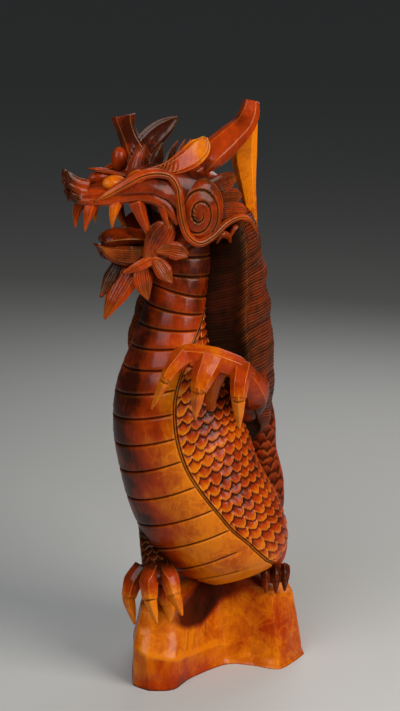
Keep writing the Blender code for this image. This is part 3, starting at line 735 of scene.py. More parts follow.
# %% The plinth
PLINTH_HEIGHT, PLINTH_WIDTH = 70.0, 158.0
PLINTH_CORNERS = [
    ((-76, -99), (-80, -91, 43), (-73, -68, 89)),
    ((-49, -96), (-48, -87, 36), (-46, -61, 86)),
    ((-30, -66), (-26, -58, 30), (-25, -38, 80)),
    ((9, -30), (6, -24, 25), (4, -6, 92)),
    ((38, -32), (37, -26, 14), (33, -6, 97)),
    ((71, -42), (70, -37, 11), (61, -14, 94)),
    ((100, 0), (97, 0, 20), (87, 3, 83)),
    ((94, 33), (90, 32, 43), (84, 28, 86)),
    ((73, 71), (71, 68, 43), (63, 61, 89)),
    ((35, 96), (34, 92, 43), (30, 78, 91)),
    ((-5, 101), (-5, 97, 40), (-5, 81, 89)),
    ((-48, 86), (-47, 84, 43), (-42, 70, 91)),
    ((-78, 58), (-76, 56, 43), (-69, 46, 89)),
    ((-96, 13), (-94, 11, 43), (-84, 8, 86)),
    ((-97, -38), (-96, -38, 46), (-88, -35, 89)),
    ((-94, -84), (-94, -78, 49), (-86, -63, 89)),
]
# Where the stop cuts are: the corner number, then the middle and half length as ring numbers.
STOP_CUTS = ((1.55, 1.32, 0.2), (1.9, 1.3, 0.13), (2.35, 1.4, 0.17))
# From which ring up the painted shade behind the toes starts at each corner number, and how strongly.
SHADE_EDGE = ([0.6, 1.4, 2.2, 3.0, 4.0, 5.2], [1.7, 1.55, 1.5, 1.72, 1.86, 2.1])
SHADE_STRENGTH = ([0.6, 1.2, 2.6, 4.0], [0.2, 1.0, 1.0, 0.45])
rock_rings = np.array(
    [
        [(*ground, 0.0), shoulder, top, (top[0] * 0.3, top[1] * 0.3 + 5, 114)]
        for ground, shoulder, top in PLINTH_CORNERS
    ],
    float,
)
rock_rings = rock_rings.transpose(1, 0, 2) * [PLINTH_WIDTH / 200, PLINTH_WIDTH / 200, PLINTH_HEIGHT / 100]
rock_rings = np.concatenate([rock_rings, rock_rings[:, :1]], axis=1)
rock_rows = np.concatenate([np.linspace(0, 1, 26), np.linspace(1, 2, 32)[1:], np.linspace(2, 3, 18)[1:]])
rock_columns = np.linspace(0, 16, 432, endpoint=False)


def rock_at(rows, columns):
    """The rock's walls at fractional ring and corner numbers, in millimetres, with its corners worn."""
    turned = np.concatenate([rock_rings[:, -3:-1], rock_rings, rock_rings[:, 1:3]], axis=1)
    numbers = np.arange(-2, 19)
    ring_points = turned.transpose(1, 0, 2).reshape(len(numbers), -1)
    worn = curve_through(numbers, ring_points, columns)
    straight = np.stack([np.interp(columns, numbers, values) for values in ring_points.T], axis=1)
    wear = 0.35 + 0.65 * np.exp(-(((columns - 2.6) / 2.6) ** 4))
    rings = straight + (worn - straight) * wear[:, None]
    rings = rings.reshape(len(columns), 4, 3).transpose(1, 0, 2).reshape(4, -1)
    up_wall = np.stack([np.interp(rows, np.arange(4), values) for values in rings.T], axis=1)
    return up_wall.reshape(len(rows), len(columns), 3)


rock_sheet = rock_at(rock_rows, rock_columns)
rock_grid = pose(rock_sheet[..., 0], rock_sheet[..., 1], rock_sheet[..., 2])
rows, columns = rock_rows[:, None], rock_columns[None, :]
ground_fade = np.clip(rows * 4, 0, 1)
front_left = np.clip((3.4 - columns) / 1.2, 0, 1) + np.clip(columns - 15, 0, 1)
shoulder_ridge = line_cut(rows - 1, 0.12) * front_left
shelf_scoop = hump(rows, 1.45, 0.35) * front_left
stop_cuts = sum(
    line_cut(columns - place, 0.07) * (np.abs(rows - middle) < half)
    for place, middle, half in STOP_CUTS
)
rock_relief = gouge_scoops(rock_grid, 18.0, 1.3) + gouge_scoops(rock_grid, 5.0, 0.3)
rock_relief = rock_relief * ground_fade + 0.8 * shoulder_ridge - 2.5 * shelf_scoop - 0.6 * stop_cuts
from_axis = unit(rock_grid * np.array([1.0, 1.0, 0.0]))
hewn_rock = rock_grid + from_axis * rock_relief[..., None] * MILLIMETRE
rock_low = np.clip(1 - rows / 0.07, 0, 1)
# Painted shade on the low front left facet under the ridge.
shaded_facet = np.clip(1 - rows, 0, 1) ** 0.3 * front_left
shade_edge = np.interp(columns, *SHADE_EDGE)
# Painted shade on the ledge behind the toes.
shade_behind_toes = np.clip((rows - shade_edge) / 0.15, 0, 1) * (columns < SHADE_EDGE[0][-1])
shade_behind_toes = shade_behind_toes * np.interp(columns, *SHADE_STRENGTH)
# Painted shade on the low facet and behind the toes, and a painted highlight along the ridge.
rock_tone_and_shading = np.clip(0.74 - 0.3 * shaded_facet + 0.3 * shoulder_ridge - 0.45 * shade_behind_toes, 0, 1)
rock_cuts_and_shade = 0.55 * rock_low + 0.7 * shade_behind_toes + 0.35 * stop_cuts
rock_piece = make_piece("plinth_rock", hewn_rock, rock_tone_and_shading, cut=rock_cuts_and_shade)
print("plinth_rock", len(rock_piece.data.polygons), "faces")

# %% [markdown]
# ## The head
# The skull and the two jaws are plain cores, and nearly everything that shows is laid over them:
# a brow band that sweeps down the cheek, a lip, a carved disc, a frill of three grooved scallops,
# and rows of leaves. Each is its own sheet with its own veins, sunk into the core below it.

# %% The skull and the jaw
CORE_ROW_SPACING = 1.8


def core(name, stations, squareness, stain):
    """A core of the head from rows of forward, half width, low and high."""
    stations = np.array(stations, float)
    rows = int((stations[-1, 0] - stations[0, 0]) / CORE_ROW_SPACING)
    forward = np.linspace(stations[0, 0], stations[-1, 0], rows)
    half_width, low, high = np.moveaxis(curve_through(stations[:, 0], stations[:, 1:], forward), -1, 0)
    turn = np.linspace(0, math.tau, 72, endpoint=False)[None, :]
    across = np.sign(np.cos(turn)) * np.abs(np.cos(turn)) ** squareness
    upward = np.sign(np.sin(turn)) * np.abs(np.sin(turn)) ** squareness
    middle, half_height = ((low + high) / 2)[:, None], ((high - low) / 2)[:, None]
    grid = head(forward[:, None], half_width[:, None] * across, middle + half_height * upward)
    return make_piece(name, carve(grid, gouge_scoops(grid, 6.0, 0.4)), stain)


core(
    "skull",
    [
        (-22, 16, 404, 436),
        (-12, 28, 394, 443),
        (8, 33, 393, 448),
        (24, 32, 400, 452),
        (37, 30, 413, 452),
        (50, 27, 421, 450),
        (65, 23, 423, 445),
        (80, 19, 423, 439),
        (95, 15, 422, 436),
        (108, 11, 422, 434),
        (114, 7, 424, 432),
    ],
    0.7,
    0.2,
)
core(
    "lower_jaw",
    [
        (-2, 20, 380, 404),
        (22, 23, 372, 396),
        (45, 21, 366, 386),
        (60, 18, 365, 385),
        (74, 14, 367, 385),
        (86, 6, 374, 385),
    ],
    0.75,
    0.1,
)

# %% The tongue and the fangs
UPWARD = np.array([0.0, 0.0, 1.0])
ACROSS_HEAD = (head(0, 1, 0) - head(0, 0, 0)) / MILLIMETRE


def on_side(points, hand=1):
    """Head points as they lie on one side of the face: hand is 1 for the left and -1 for the right."""
    return [head(forward, side * hand, up) for forward, side, up in points]


def middle_groove(share, across, width, front):
    """One cut down the middle."""
    return -0.9 * line_cut(across, 0.12) * (front > 0.1)


tongue = on_side([(46, 3, 387), (60, 4, 391), (74, 4, 392), (84, 3, 391), (88, 3, 390)])
tongue_widths, tongue_depths = [26, 28, 27, 23, 16], [16, 17, 17, 15, 11]
blade("tongue", tongue, tongue_widths, tongue_depths, UPWARD, 0.32, middle_groove, kind="ridged")
HANDS = {"left": 1, "right": -1}
FANGS = {
    "front": (99, 10, 424, 106, 400, 14),
    "second": (81, 17, 424, 85, 402, 13),
    "long": (65, 22, 424, 49, 386, 15),
    "back": (44, 27, 420, 37, 400, 10),
}
for which, (forward, side, up, tip_forward, tip_up, width) in FANGS.items():
    middle = ((forward + tip_forward) / 2 + 1.5, side + 1.5, (up + tip_up) / 2)
    fang = [(forward, side, up), middle, (tip_forward, side, tip_up)]
    fang_widths = [width, width * 0.55, 1]
    for side_name, hand in HANDS.items():
        name, spine = f"fang_{which}_{side_name}", on_side(fang, hand)
        blade(name, spine, fang_widths, [9, 6, 1], ACROSS_HEAD, (0.3, 0.72), kind="ridged")

# %% [markdown]
# The two sides of the face are cut alike. The near one is finished finely, and the far one, which
# only shows from behind and below, gets the same forms with fewer points. From the snout back lie
# three nose petals, the lip, the cheek above it, the brow band that sweeps down round the cheek,
# the disc with its spiral, and the frill.

# %% The bands and the disc of the face
DISC_CURL = (-0.3, -0.12)
DISC_TURNS = 2.7


def disc_spiral(polar, turn):
    """A spiral that opens from a curl low at the front of the disc, with short strokes round the curl."""
    across = np.sin(polar) * np.cos(turn) - DISC_CURL[0]
    upward = np.sin(polar) * np.sin(turn) - DISC_CURL[1]
    reach, bearing = np.hypot(across, upward), np.arctan2(-upward, -across) / math.tau
    spiral = line_cut(to_nearest(reach * DISC_TURNS + bearing + 0.1), 0.13) * np.clip(reach * 6 - 0.5, 0, 1)
    strokes = line_cut(to_nearest(bearing * 13 + reach * 2), 0.35) * hump(reach, 0.3, 0.11)
    fore = np.clip(0.2 - across * 3, 0, 1)
    return -(1.6 * spiral + 0.6 * strokes * fore) * (polar < math.pi / 2)


def single_line(share, across, width, front):
    """One line that runs along a band."""
    return -0.8 * line_cut(across - 0.45, 0.2) * (front > 0.1)


BROW = [(99, 15, 425), (91, 19, 430), (79, 25, 438), (63, 28, 446), (48, 30, 447), (39, 31, 444)]
BROW += [(33, 33, 435), (31, 34, 421), (28, 34, 404), (23, 34, 393), (14, 34, 387), (3, 33, 390)]
BROW += [(-15, 29, 401), (-31, 25, 404), (-44, 19, 397), (-50, 15, 386)]
BROW_WIDTHS = [2, 6, 8, 9, 9, 8, 8, 8, 8, 8, 8, 8, 7, 6, 5, 2]
LIP = [(113, 6, 426), (100, 13, 425), (84, 18, 426), (68, 22, 428), (54, 27, 427), (43, 29, 421)]
LIP += [(31, 31, 404)]
LIP_WIDTHS, LIP_THICKNESSES = [6, 8, 9, 10, 11, 10, 5], [6, 7, 7, 7, 7, 6, 5]
CHEEK = [(88, 17, 430), (70, 23, 435), (52, 27, 437), (38, 30, 431), (31, 32, 418)]
NOSE_PETALS = {
    "top": ([(100, 5, 437), (110, 5, 440), (117, 4, 446), (118, 3, 450)], [9, 9, 7, 3]),
    "middle": ([(103, 8, 432), (112, 7, 435), (118, 5, 440)], [8, 8, 3]),
    "low": ([(104, 9, 426), (111, 8, 428), (116, 6, 432)], [8, 8, 3]),
}
LEAVES = {
    "frill_top": ([(8, 29, 429), (-12, 26, 434), (-24, 22, 436), (-29, 20, 436)], [16, 17, 13, 3], 0.14),
    "frill_middle": ([(6, 29, 420), (-16, 24, 422), (-31, 18, 421), (-36, 17, 421)], [13, 15, 12, 3], 0.1),
    "frill_low": ([(6, 29, 409), (-18, 25, 410), (-35, 20, 408), (-40, 18, 407)], [16, 16, 12, 3], 0.14),
    "cheek_leaf": (
        [(56, 19, 375), (50, 23, 384), (45, 25, 393), (39, 26, 401), (35, 26, 407)],
        [7, 20, 27, 20, 2],
        0.34,
    ),
    "jaw_leaf_back": ([(48, 22, 381), (37, 26, 382), (29, 28, 380), (21, 29, 376)], [6, 14, 16, 4], 0.24),
    "jaw_leaf_lower": ([(49, 19, 376), (44, 21, 369), (40, 23, 362), (34, 25, 353)], [6, 14, 15, 2], 0.3),
    "jaw_leaf_front": ([(57, 14, 367), (57, 16, 358), (56, 17, 350), (53, 18, 339)], [12, 18, 15, 2], 0.34),
}
CURLS = [
    [(-6, 28, 384), (-11, 28, 391), (-18, 26, 389), (-21, 25, 383)],
    [(-20, 25, 387), (-26, 24, 395), (-34, 21, 393), (-38, 19, 385)],
    [(-34, 21, 391), (-41, 19, 396), (-49, 16, 391), (-53, 14, 381)],
]

# %% Both sides of the face
HIDDEN_DETAIL = 0.6
# For each side of the face: how fine its sheets are, how many veins a leaf has, the nostril's stain.
SIDES = {"left": (1.3, 8, 0.62), "right": (HIDDEN_DETAIL, 4, 0.12)}
LOWER_LIP = [(91, 2, 386), (80, 9, 379), (66, 14, 377), (48, 19, 381)]
LIP_LEAF = [(73, 12, 363), (60, 18, 369), (50, 20, 373), (43, 21, 373)]
NOSTRIL_HOOD = [(68, 11, 443), (82, 10, 447), (95, 7, 449)]


def face_leaf(form, side, points, widths, thicknesses, facing, stain, **cuts):
    """A leaf or a band laid on one side of the face."""
    name, spine = f"{form}_{side}", on_side(points, HANDS[side])
    blade(name, spine, widths, thicknesses, facing, stain, fineness=SIDES[side][0], kind="leaf", **cuts)


for side, (fine, lines, nostril_stain) in SIDES.items():
    hand = HANDS[side]
    outward = (head(0, hand, 0) - head(0, 0, 0)) / MILLIMETRE
    upward_out = outward + UPWARD * 0.5
    downward_out = outward - UPWARD * 0.3
    brow_thicknesses = [6] + [8] * (len(BROW) - 2) + [3]
    face_leaf("brow", side, BROW, BROW_WIDTHS, brow_thicknesses, upward_out, 0.34, carving=single_line)
    face_leaf("lip", side, LIP, LIP_WIDTHS, LIP_THICKNESSES, outward, 0.24)
    cheek = on_side(CHEEK, hand)
    blade(f"cheek_{side}", cheek, [4, 11, 17, 17, 6], [5, 8, 9, 8, 5], upward_out, 0.13, None, fine, "oval")
    for petal, (points, widths) in NOSE_PETALS.items():
        face_leaf(f"nose_{petal}", side, points, widths, [6] * len(widths), outward, 0.1)
    boss(f"nostril_{side}", head(81, 15 * hand, 439), (11, 7, 6), nostril_stain, upward_out, None, fine)
    face_leaf("nostril_hood", side, NOSTRIL_HOOD, [8, 9, 2], [5, 5, 2], UPWARD, 0.05)
    boss(f"disc_{side}", head(8, 29 * hand, 414), (20, 26, 9), 0.34, outward, disc_spiral, fine * 1.5)
    veins = {"carving": veined(lines), "lines": lines}
    for leaf, (points, widths, tone) in LEAVES.items():
        thick = [9] + [6] * (len(widths) - 2) + [3]
        face_leaf(leaf, side, points, widths, thick, outward, tone, straight=0.55, dish=1.3, **veins)
    lip_widths, lip_thick = [2, 14, 17, 6], [9, 7, 7, 3]
    face_leaf("lower_lip", side, LOWER_LIP, lip_widths, lip_thick, outward, 0.3, straight=0.4, **veins)
    face_leaf("lip_leaf", side, LIP_LEAF, [3, 11, 10, 3], [5, 8, 6, 3], downward_out, 0.5, dish=1.2)
    for number, curl in enumerate(CURLS, 1):
        face_leaf(f"hair_curl_{number}", side, curl, [2, 6, 6, 2], [3, 7, 7, 3], upward_out, 0.3)

# %% [markdown]
# ## Ears, horns and crest
# The ears are spoons with a rim. The near horn lies back as a tapering slab, and its tip rests on a
# prop that is left standing on the mane. The far horn is a shorter stump. A row of flat spines
# runs back from the brow, between two bulging eyes.

# %% Ears and horns


def ear_carving(share, across, width, front):
    """A rim round a spoon, with hair strokes at its root."""
    rim = line_cut(np.abs(across) - 0.78, 0.12)
    strokes = line_cut(to_nearest(share * 15 + across * 1.2), 0.3) * np.clip(1.6 - share * 3.4, 0, 1)
    hollow = np.clip(share * 3 - 1, 0, 1) * (1 - across**2) * 0.12
    return -(0.35 * rim + 0.9 * strokes * (np.abs(across) < 0.9) + hollow) * (front > 0.1)


EARS = {
    "ear_left": (
        on_side([(52, 21, 447), (38, 27, 450), (25, 28, 455), (14, 27, 461), (7, 27, 468), (4, 27, 474)]),
        [7, 12, 18, 20, 16, 4],
        [7, 6, 6, 6, 5, 3],
        (0.35, 0.75),
    ),
    # The far ear's dark stain of 0.03 is painted shade.
    "ear_right": (
        on_side([(50, -14, 446), (40, -18, 461), (26, -21, 472), (12, -24, 480), (4, -25, 485)]),
        [18, 23, 22, 14, 3],
        [7, 7, 6, 5, 3],
        0.03,
    ),
}
EAR_FACINGS = {"ear_left": TOWARD, "ear_right": pose(0.7, -1, 0) / MILLIMETRE}
for name, (spine, widths, thicknesses, tone) in EARS.items():
    facing = EAR_FACINGS[name]
    blade(name, spine, widths, thicknesses, facing, tone, ear_carving, 1.5, "leaf", lines=6, dish=1.2)
HORNS = {
    "horn_left": (
        posed([(-15, -21, 440), (-8, -22, 455), (7, -11, 468), (22, 3, 481), (26, 9, 489), (28, 12, 499)]),
        [3, 24, 25, 20, 18, 14],
        [6, 12, 13, 12, 12, 11],
        0.3,
    ),
    "horn_left_root": (
        [head(20, 12, 440), pose(-14, -16, 452), pose(-4, -16, 459)],
        [26, 24, 16],
        [16, 14, 8],
        0.3,
    ),
    "horn_right": (
        on_side([(40, -16, 440), (46, -20, 458), (51, -23, 472), (54, -24, 482), (55, -25, 489)]),
        [28, 22, 17, 18, 21],
        [15, 13, 11, 12, 14],
        0.22,
    ),
    "horn_prop": (
        posed([(26, 9, 486), (22, 13, 452), (25, 15, 425), (28, 14, 402), (29, 12, 380)]),
        [15, 22, 15, 11, 10],
        [10, 11, 11, 10, 10],
        0.9,
    ),
}
for name, (spine, widths, thicknesses, tone) in HORNS.items():
    blade(name, spine, widths, thicknesses, TOWARD + UPWARD * 0.5, tone, None, 1.0, "slab", 0.35)

# %% Crest, eyes and beard
boss("eye_right", head(62, -18, 453), (6.8, 7.5, 11.5), 0.3)
boss("eye_left", head(62, 20, 442), (10, 8, 8), 0.6, ACROSS_HEAD)
CREST = [
    (56, 443, 46, 467, 19),
    (38, 446, 30, 468, 14),
    (27, 446, 16, 469, 9),
    (18, 446, 9, 470, 8),
    (12, 446, 4, 470, 8),
]
for number, (forward, up, tip_forward, tip_up, width) in enumerate(CREST, 1):
    middle = (forward * 0.6 + tip_forward * 0.4, 0, (up + tip_up) / 2)
    spine = on_side([(forward, 0, up), middle, (tip_forward, 0, tip_up)])
    name, widths = f"crest_spine_{number}", [width, width * 0.8, 1.2]
    blade(name, spine, widths, [7, 4, 1.5], ACROSS_HEAD, 0.15, veined(4, 0.1), 1.3, "leaf", lines=4)
beard_facing = (head(1, 0.6, 0) - head(0, 0, 0)) / MILLIMETRE
BEARD = {
    "beard_long": ([(62, 5, 364), (70, 4, 351), (79, 3, 337), (86, 2, 323)], [22, 23, 16, 3], 0.44),
    "beard_short": ([(69, -4, 367), (77, -5, 355), (86, -6, 340)], [14, 15, 2], 0.08),
}
for name, (points, widths, tone) in BEARD.items():
    spine, thick = on_side(points), [11, 9, 7, 3][: len(widths)]
    blade(name, spine, widths, thick, beard_facing, tone, veined(8), 1.3, "leaf", 0.55, 8, 1.4)

# %% [markdown]
# ## Arms, hands and feet
# A hand is a broad block with hanging fingers, whittled rather than modelled, so the knife's flats
# stay plain to see. Each finger ends in a ridged claw, and a cut all round marks where it starts.

# %% A finger and its claw


def claw_joint(share, across, width, front):
    """The cut that parts a claw from its finger."""
    return -0.7 * line_cut(share - 0.16, 0.035) * np.ones_like(across)


def digit(name, joints, widths, facing, stain, fineness=1.0, kind="slab"):
    """A finger or toe with its claw."""
    joints = posed(joints)
    depths = [width * 0.85 for width in widths]
    finger_stain, claw_stain = (stain, stain[1]) if isinstance(stain, tuple) else (stain, stain)
    finger_widths, finger_depths = widths[:-1], depths[:-1]
    finger = f"{name}_finger"
    blade(finger, joints[:-1], finger_widths, finger_depths, facing, finger_stain, None, fineness, kind, 0.6)
    before, root, tip = joints[-3:]
    claw_spine = [before * 0.25 + root * 0.75, root, root * 0.45 + tip * 0.55, tip]
    slim = widths[-2] * 0.9
    sizes = [slim, slim, slim * 0.66, widths[-1]]
    blade(f"{name}_claw", claw_spine, sizes, sizes, facing, claw_stain, claw_joint, fineness, "ridged", 0.4)


# %% Arms and hands
# The near shoulder's dark stain, and the dark root of its arm, are painted shade.
boss("shoulder_left", pose(25, -7, 250), (19, 20, 28), 0.12)
upper_arm = posed([(26, -8, 250), (31, -34, 257), (25, -54, 272), (16, -63, 284)])
limb("arm_left", upper_arm, [16, 13, 11, 10], (0.1, 0.5), None, 1.0, "slab", 0.5)
palm = posed([(-38, -74, 294), (-26, -72, 298), (-4, -70, 294), (14, -67, 287), (27, -62, 278)])
blade("palm_left", palm, [12, 20, 22, 20, 13], [12, 18, 19, 18, 11], TOWARD, 0.52, None, 1.2, "slab", 0.7)
thumb = posed([(2, -66, 288), (-5, -63, 266), (-7, -65, 249)])
limb("thumb_left", thumb, [8, 5.5, 3.5], 0.5, kind="ridged")
LEFT_FINGERS = [
    ([(-29, -73, 298), (-38, -81, 290), (-44, -84, 281), (-56, -80, 254)], [21, 14, 10.5, 1.8]),
    ([(-8, -71, 294), (-13, -83, 283), (-17, -88, 272), (-20, -84, 246)], [26, 20, 13.5, 2.5]),
    ([(19, -67, 287), (17, -80, 277), (16, -83, 265), (17, -76, 236)], [19, 16, 13.5, 2]),
]
for number, (joints, widths) in enumerate(LEFT_FINGERS, 1):
    digit(f"left_hand_{number}", joints, widths, TOWARD, (0.46, 0.72), 1.2)

boss("shoulder_right", pose(-48, 26, 250), (18, 18, 26), 0.4, fineness=HIDDEN_DETAIL)
arm = posed([(-50, 30, 248), (-62, 44, 230), (-74, 38, 214), (-80, 26, 206)])
limb("arm_right", arm, [16, 13, 12, 11], 0.5, None, HIDDEN_DETAIL, "slab", 0.5)
FAR_SIDE = pose(-1, 0.6, 0) / MILLIMETRE
RIGHT_FINGER = [(-77, 28, 208), (-83, 22, 200), (-84, 16, 190), (-82, 12, 170)]
FINGER_SPREAD = 9
for number in range(3):
    joints = [(right, away - number * FINGER_SPREAD, up) for right, away, up in RIGHT_FINGER]
    digit(f"right_hand_{number + 1}", joints, [15, 13, 11, 2.5], FAR_SIDE, 0.6, HIDDEN_DETAIL)

# %% Legs and feet
boss("thigh_right", pose(-50, 0, 124), (20, 20, 30), 0.3)
shank = posed([(-56, -6, 128), (-57, -14, 108), (-54, -34, 96)])
limb("shank_right", shank, [15, 12, 12], 0.2, scaled(8, 6, 1.4))
boss("foot_right", pose(-55, -38, 92), (19, 14, 11), 0.2)
boss("thigh_left", pose(44, 10, 104), (19, 20, 30), 0.5)
boss("foot_left", pose(51, 0, 79), (13, 12, 10), 0.3)
RIGHT_TOES = [
    [(-66, -36, 98), (-74, -42, 88), (-78, -46, 74), (-73, -50, 50)],
    [(-56, -44, 100), (-60, -56, 92), (-59, -61, 78), (-53, -65, 57)],
    [(-46, -44, 99), (-42, -54, 94), (-38, -60, 82), (-31, -64, 64)],
    [(-48, -40, 84), (-45, -46, 78), (-43, -50, 68), (-42, -52, 50)],
]
for number, joints in enumerate(RIGHT_TOES, 1):
    digit(f"right_foot_{number}", joints, [16, 17, 13, 2], TOWARD, (0.1, 0.9), 1.0, "ridged")
LEFT_TOES = [
    [(44, -2, 84), (43, -10, 82), (43, -13, 76), (43, -14, 65)],
    [(52, -4, 86), (52, -11, 83), (52, -14, 77), (52, -15, 65)],
    [(60, -2, 86), (60, -9, 83), (60, -12, 77), (60, -12, 66)],
]
for number, joints in enumerate(LEFT_TOES, 1):
    digit(f"left_foot_{number}", joints, [10, 10, 8, 2], TOWARD, 0.2, 1.0, "ridged")
print(len(pieces), "pieces,", sum(len(piece.data.polygons) for piece in pieces), "faces")

# %% [markdown]
# ## The finish
# The log was wiped with a stain that runs from red brown to honey, and then varnished to a soft
# gloss. The stain reads the three marks kept on each mesh, and over them lie the log's own grain,
# which runs up the log, and the blotches where end grain drinks more. A small class lets the
# finish be written as sums, which keeps the node tree readable.

# %% A class that writes nodes as sums


class Wire:
    """One output in a finish. Sums on it add Math nodes."""

    def __init__(self, finish, socket):
        self.finish = finish
        self.socket = socket

    def sum(self, operation, *values):
        return self.finish.node("ShaderNodeMath", {"operation": operation}, dict(enumerate(values)))

    def __add__(self, other):
        return self.sum("ADD", self, other)

    def __sub__(self, other):
        return self.sum("SUBTRACT", self, other)

    def __rsub__(self, other):
        return self.sum("SUBTRACT", other, self)

    def __mul__(self, other):
        return self.sum("MULTIPLY", self, other)

    def __abs__(self):
        return self.sum("ABSOLUTE", self)

    def held(self):
        """The same value kept between 0 and 1."""
        return self.finish.node("ShaderNodeClamp", {}, {"Value": self})

    __radd__ = __add__
    __rmul__ = __mul__


class Finish:
    """A node material under construction."""

    def __init__(self, name):
        self.material = bpy.data.materials.new(name)
        self.material.use_nodes = True
        self.tree = self.material.node_tree
        self.shader = self.tree.nodes["Principled BSDF"]

    def node(self, kind, settings, links, output=0):
        """A node of any kind: its settings first, then its inputs, as numbers or wires."""
        made = self.tree.nodes.new(kind)
        for setting, value in settings.items():
            setattr(made, setting, value)
        for socket, value in links.items():
            if isinstance(value, Wire):
                self.tree.links.new(value.socket, made.inputs[socket])
            else:
                made.inputs[socket].default_value = value
        return Wire(self, made.outputs[output])

    def noise(self, place, scale, detail, **more):
        """Noise with about scale waves in a metre."""
        inputs = {"Vector": place, "Scale": scale, "Detail": detail, **more}
        return self.node("ShaderNodeTexNoise", {}, inputs)

    def blend(self, share, low, high):
        """A colour between two others."""
        low, high = ((*c, 1.0) if isinstance(c, tuple) else c for c in (low, high))
        return self.node("ShaderNodeMix", {"data_type": "RGBA"}, {"Factor": share, 6: low, 7: high}, 2)

    def feed(self, socket, value):
        """Sets the shader's own socket, to a number or to what a wire brings."""
        if isinstance(value, Wire):
            self.tree.links.new(value.socket, self.shader.inputs[socket])
        else:
            self.shader.inputs[socket].default_value = value


# %% The varnished wood
RED_BROWN = (0.040, 0.005, 0.001)
ORANGE = (0.40, 0.036, 0.001)
HONEY = (0.74, 0.185, 0.001)
DARK_LINE = (0.010, 0.003, 0.001)
WORN_AND_HIGHLIT = (0.85, 0.36, 0.03)
BLOTCH_STRENGTH, GRAIN_STRENGTH, VEIN_STRENGTH = 1.7, 0.3, 0.25

wood = Finish("varnished_wood")
place = wood.node("ShaderNodeTexCoord", {}, {}, "Object")
along_log = wood.node("ShaderNodeMapping", {}, {"Vector": place, "Scale": (1.0, 1.0, 0.12)})
stain = wood.node("ShaderNodeAttribute", {"attribute_name": "stain"}, {}, "Fac")
hollow = wood.node("ShaderNodeAttribute", {"attribute_name": "hollow"}, {}, "Fac")
ridge = wood.node("ShaderNodeAttribute", {"attribute_name": "ridge"}, {}, "Fac")
blotch = wood.noise(place, 26.0, 5.0, Roughness=0.6)
grain = wood.noise(along_log, 420.0, 4.0, Roughness=0.65)
pores = wood.noise(along_log, 1500.0, 2.0, Roughness=0.5)
end_grain = wood.noise(place, 48.0, 3.0, Distortion=1.5)
veins = (1 - abs(end_grain - 0.5) * 16).held() * (stain * 2.5 - 1.2).held()
uneven_stain = stain + (blotch - 0.5) * BLOTCH_STRENGTH + (grain - 0.5) * GRAIN_STRENGTH
depth_of_stain = (uneven_stain + veins * VEIN_STRENGTH).held()
low_tone = wood.blend((depth_of_stain * 2).held(), RED_BROWN, ORANGE)
tone = wood.blend((depth_of_stain * 2 - 1).held(), low_tone, HONEY)
# Convex edges lightened: partly rubbed varnish, partly a painted highlight.
worn_and_highlit = wood.blend((ridge * 0.5).held() * (stain * 0.7 + 0.2), tone, WORN_AND_HIGHLIT)
# Concave places darkened: partly stain pooled in the cuts, partly painted shade.
pooled_stain_and_shade = wood.blend((hollow * 1.3).held() * 0.88, worn_and_highlit, DARK_LINE)
pored = wood.blend(((0.42 - pores) * 4).held() * 0.5, pooled_stain_and_shade, DARK_LINE)
wood.feed("Base Color", pored)
wood.feed("Roughness", (0.4 + (blotch - 0.5) * 0.25 + hollow * 0.2).held())
wood.feed("Specular IOR Level", 0.05)
wood.feed("Coat Weight", ((1 - hollow * 1.5) * 0.3).held())
wood.feed("Coat Roughness", 0.17)
knife_marks = wood.noise(place, 240.0, 3.0)
height = knife_marks * 0.5 + grain * 0.35 + pores * 0.15
bump = wood.node("ShaderNodeBump", {}, {"Height": height, "Strength": 0.35, "Distance": 0.0006}, "Normal")
wood.feed("Normal", bump)
for piece in pieces:
    piece.data.materials.append(wood.material)
print("the finish has", len(wood.tree.nodes), "nodes")

# %% [markdown]
# ## The room
# A plain pale floor, a warm soft light from the upper right, a cooler one over the camera's left
# shoulder that draws soft reflections on the neck and snout, a weak one from behind so that the
# back can be seen, and a camera where the photograph's was.

# %% Floor, lights and camera
LOOK_AT = np.array([-0.0111, -0.0111, 0.280])
CAMERA_DISTANCE, CAMERA_HEIGHT_ANGLE = 1.5, math.radians(14.0)
# The focal length as read from the photograph, 1722 of its pixels in a frame 711 pixels tall.
SENSOR_WIDTH = 36
LENS = SENSOR_WIDTH * 1722 / 711
FLOOR_REACH = 60.0


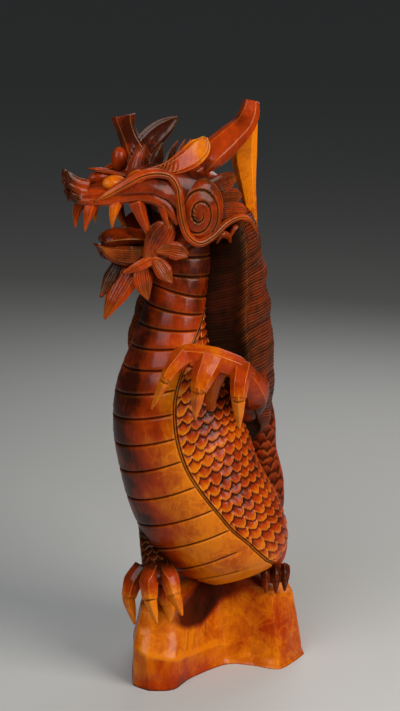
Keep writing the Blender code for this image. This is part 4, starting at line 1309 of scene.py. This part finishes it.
def aim(thing, target):
    """Turns a camera or a light to look at a point."""
    direction = thing.location - type(thing.location)(target)
    thing.rotation_euler = direction.to_track_quat("Z", "Y").to_euler()


floor_mesh = bpy.data.meshes.new("floor")
floor_corners = [(FLOOR_REACH * x, FLOOR_REACH * y, 0) for x, y in ((-1, -1), (1, -1), (1, 1), (-1, 1))]
floor_mesh.from_pydata(floor_corners, [], [(0, 1, 2, 3)])
floor = bpy.data.objects.new("floor", floor_mesh)
bpy.context.scene.collection.objects.link(floor)
paint = Finish("pale_floor")
paint.feed("Base Color", (0.52, 0.52, 0.51, 1.0))
paint.feed("Roughness", 0.7)
floor_mesh.materials.append(paint.material)

world = bpy.data.worlds.new("studio")
world.use_nodes = True
sky = world.node_tree.nodes["Background"].inputs
sky["Color"].default_value = (0.5, 0.52, 0.54, 1.0)
sky["Strength"].default_value = 0.07
bpy.context.scene.world = world
bpy.context.scene.view_settings.view_transform = "Standard"

LIGHTS = {
    "key": (pose(750, -550, 800), 0.7, 11.5, (1.0, 0.94, 0.86)),
    "window": (pose(-480, -820, 1050), 0.8, 8.0, (0.92, 0.97, 1.0)),
    "back": (pose(300, 900, 900), 0.8, 4.5, (1.0, 1.0, 1.0)),
}
for name, (spot, size, watts, colour) in LIGHTS.items():
    light = bpy.data.lights.new(name, "AREA")
    light.size = size
    light.energy = watts
    light.color = colour
    lamp = bpy.data.objects.new(name, light)
    lamp.location = spot
    bpy.context.scene.collection.objects.link(lamp)
    aim(lamp, LOOK_AT)

camera = bpy.data.objects.new("camera", bpy.data.cameras.new("camera"))
camera.data.lens = LENS
back_off = CAMERA_DISTANCE * math.cos(CAMERA_HEIGHT_ANGLE) / MILLIMETRE
rise = CAMERA_DISTANCE * math.sin(CAMERA_HEIGHT_ANGLE) / MILLIMETRE
camera.location = LOOK_AT + pose(0, -back_off, rise)
bpy.context.scene.collection.objects.link(camera)
aim(camera, LOOK_AT)
bpy.context.scene.camera = camera

# %% [markdown]
# ## Hand over
# Every piece rides on the part's one body, and the part's own mesh is hidden.

# %% Tie the pieces to the part
for piece in pieces:
    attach(piece, "root")
    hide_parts("dragon_carving")
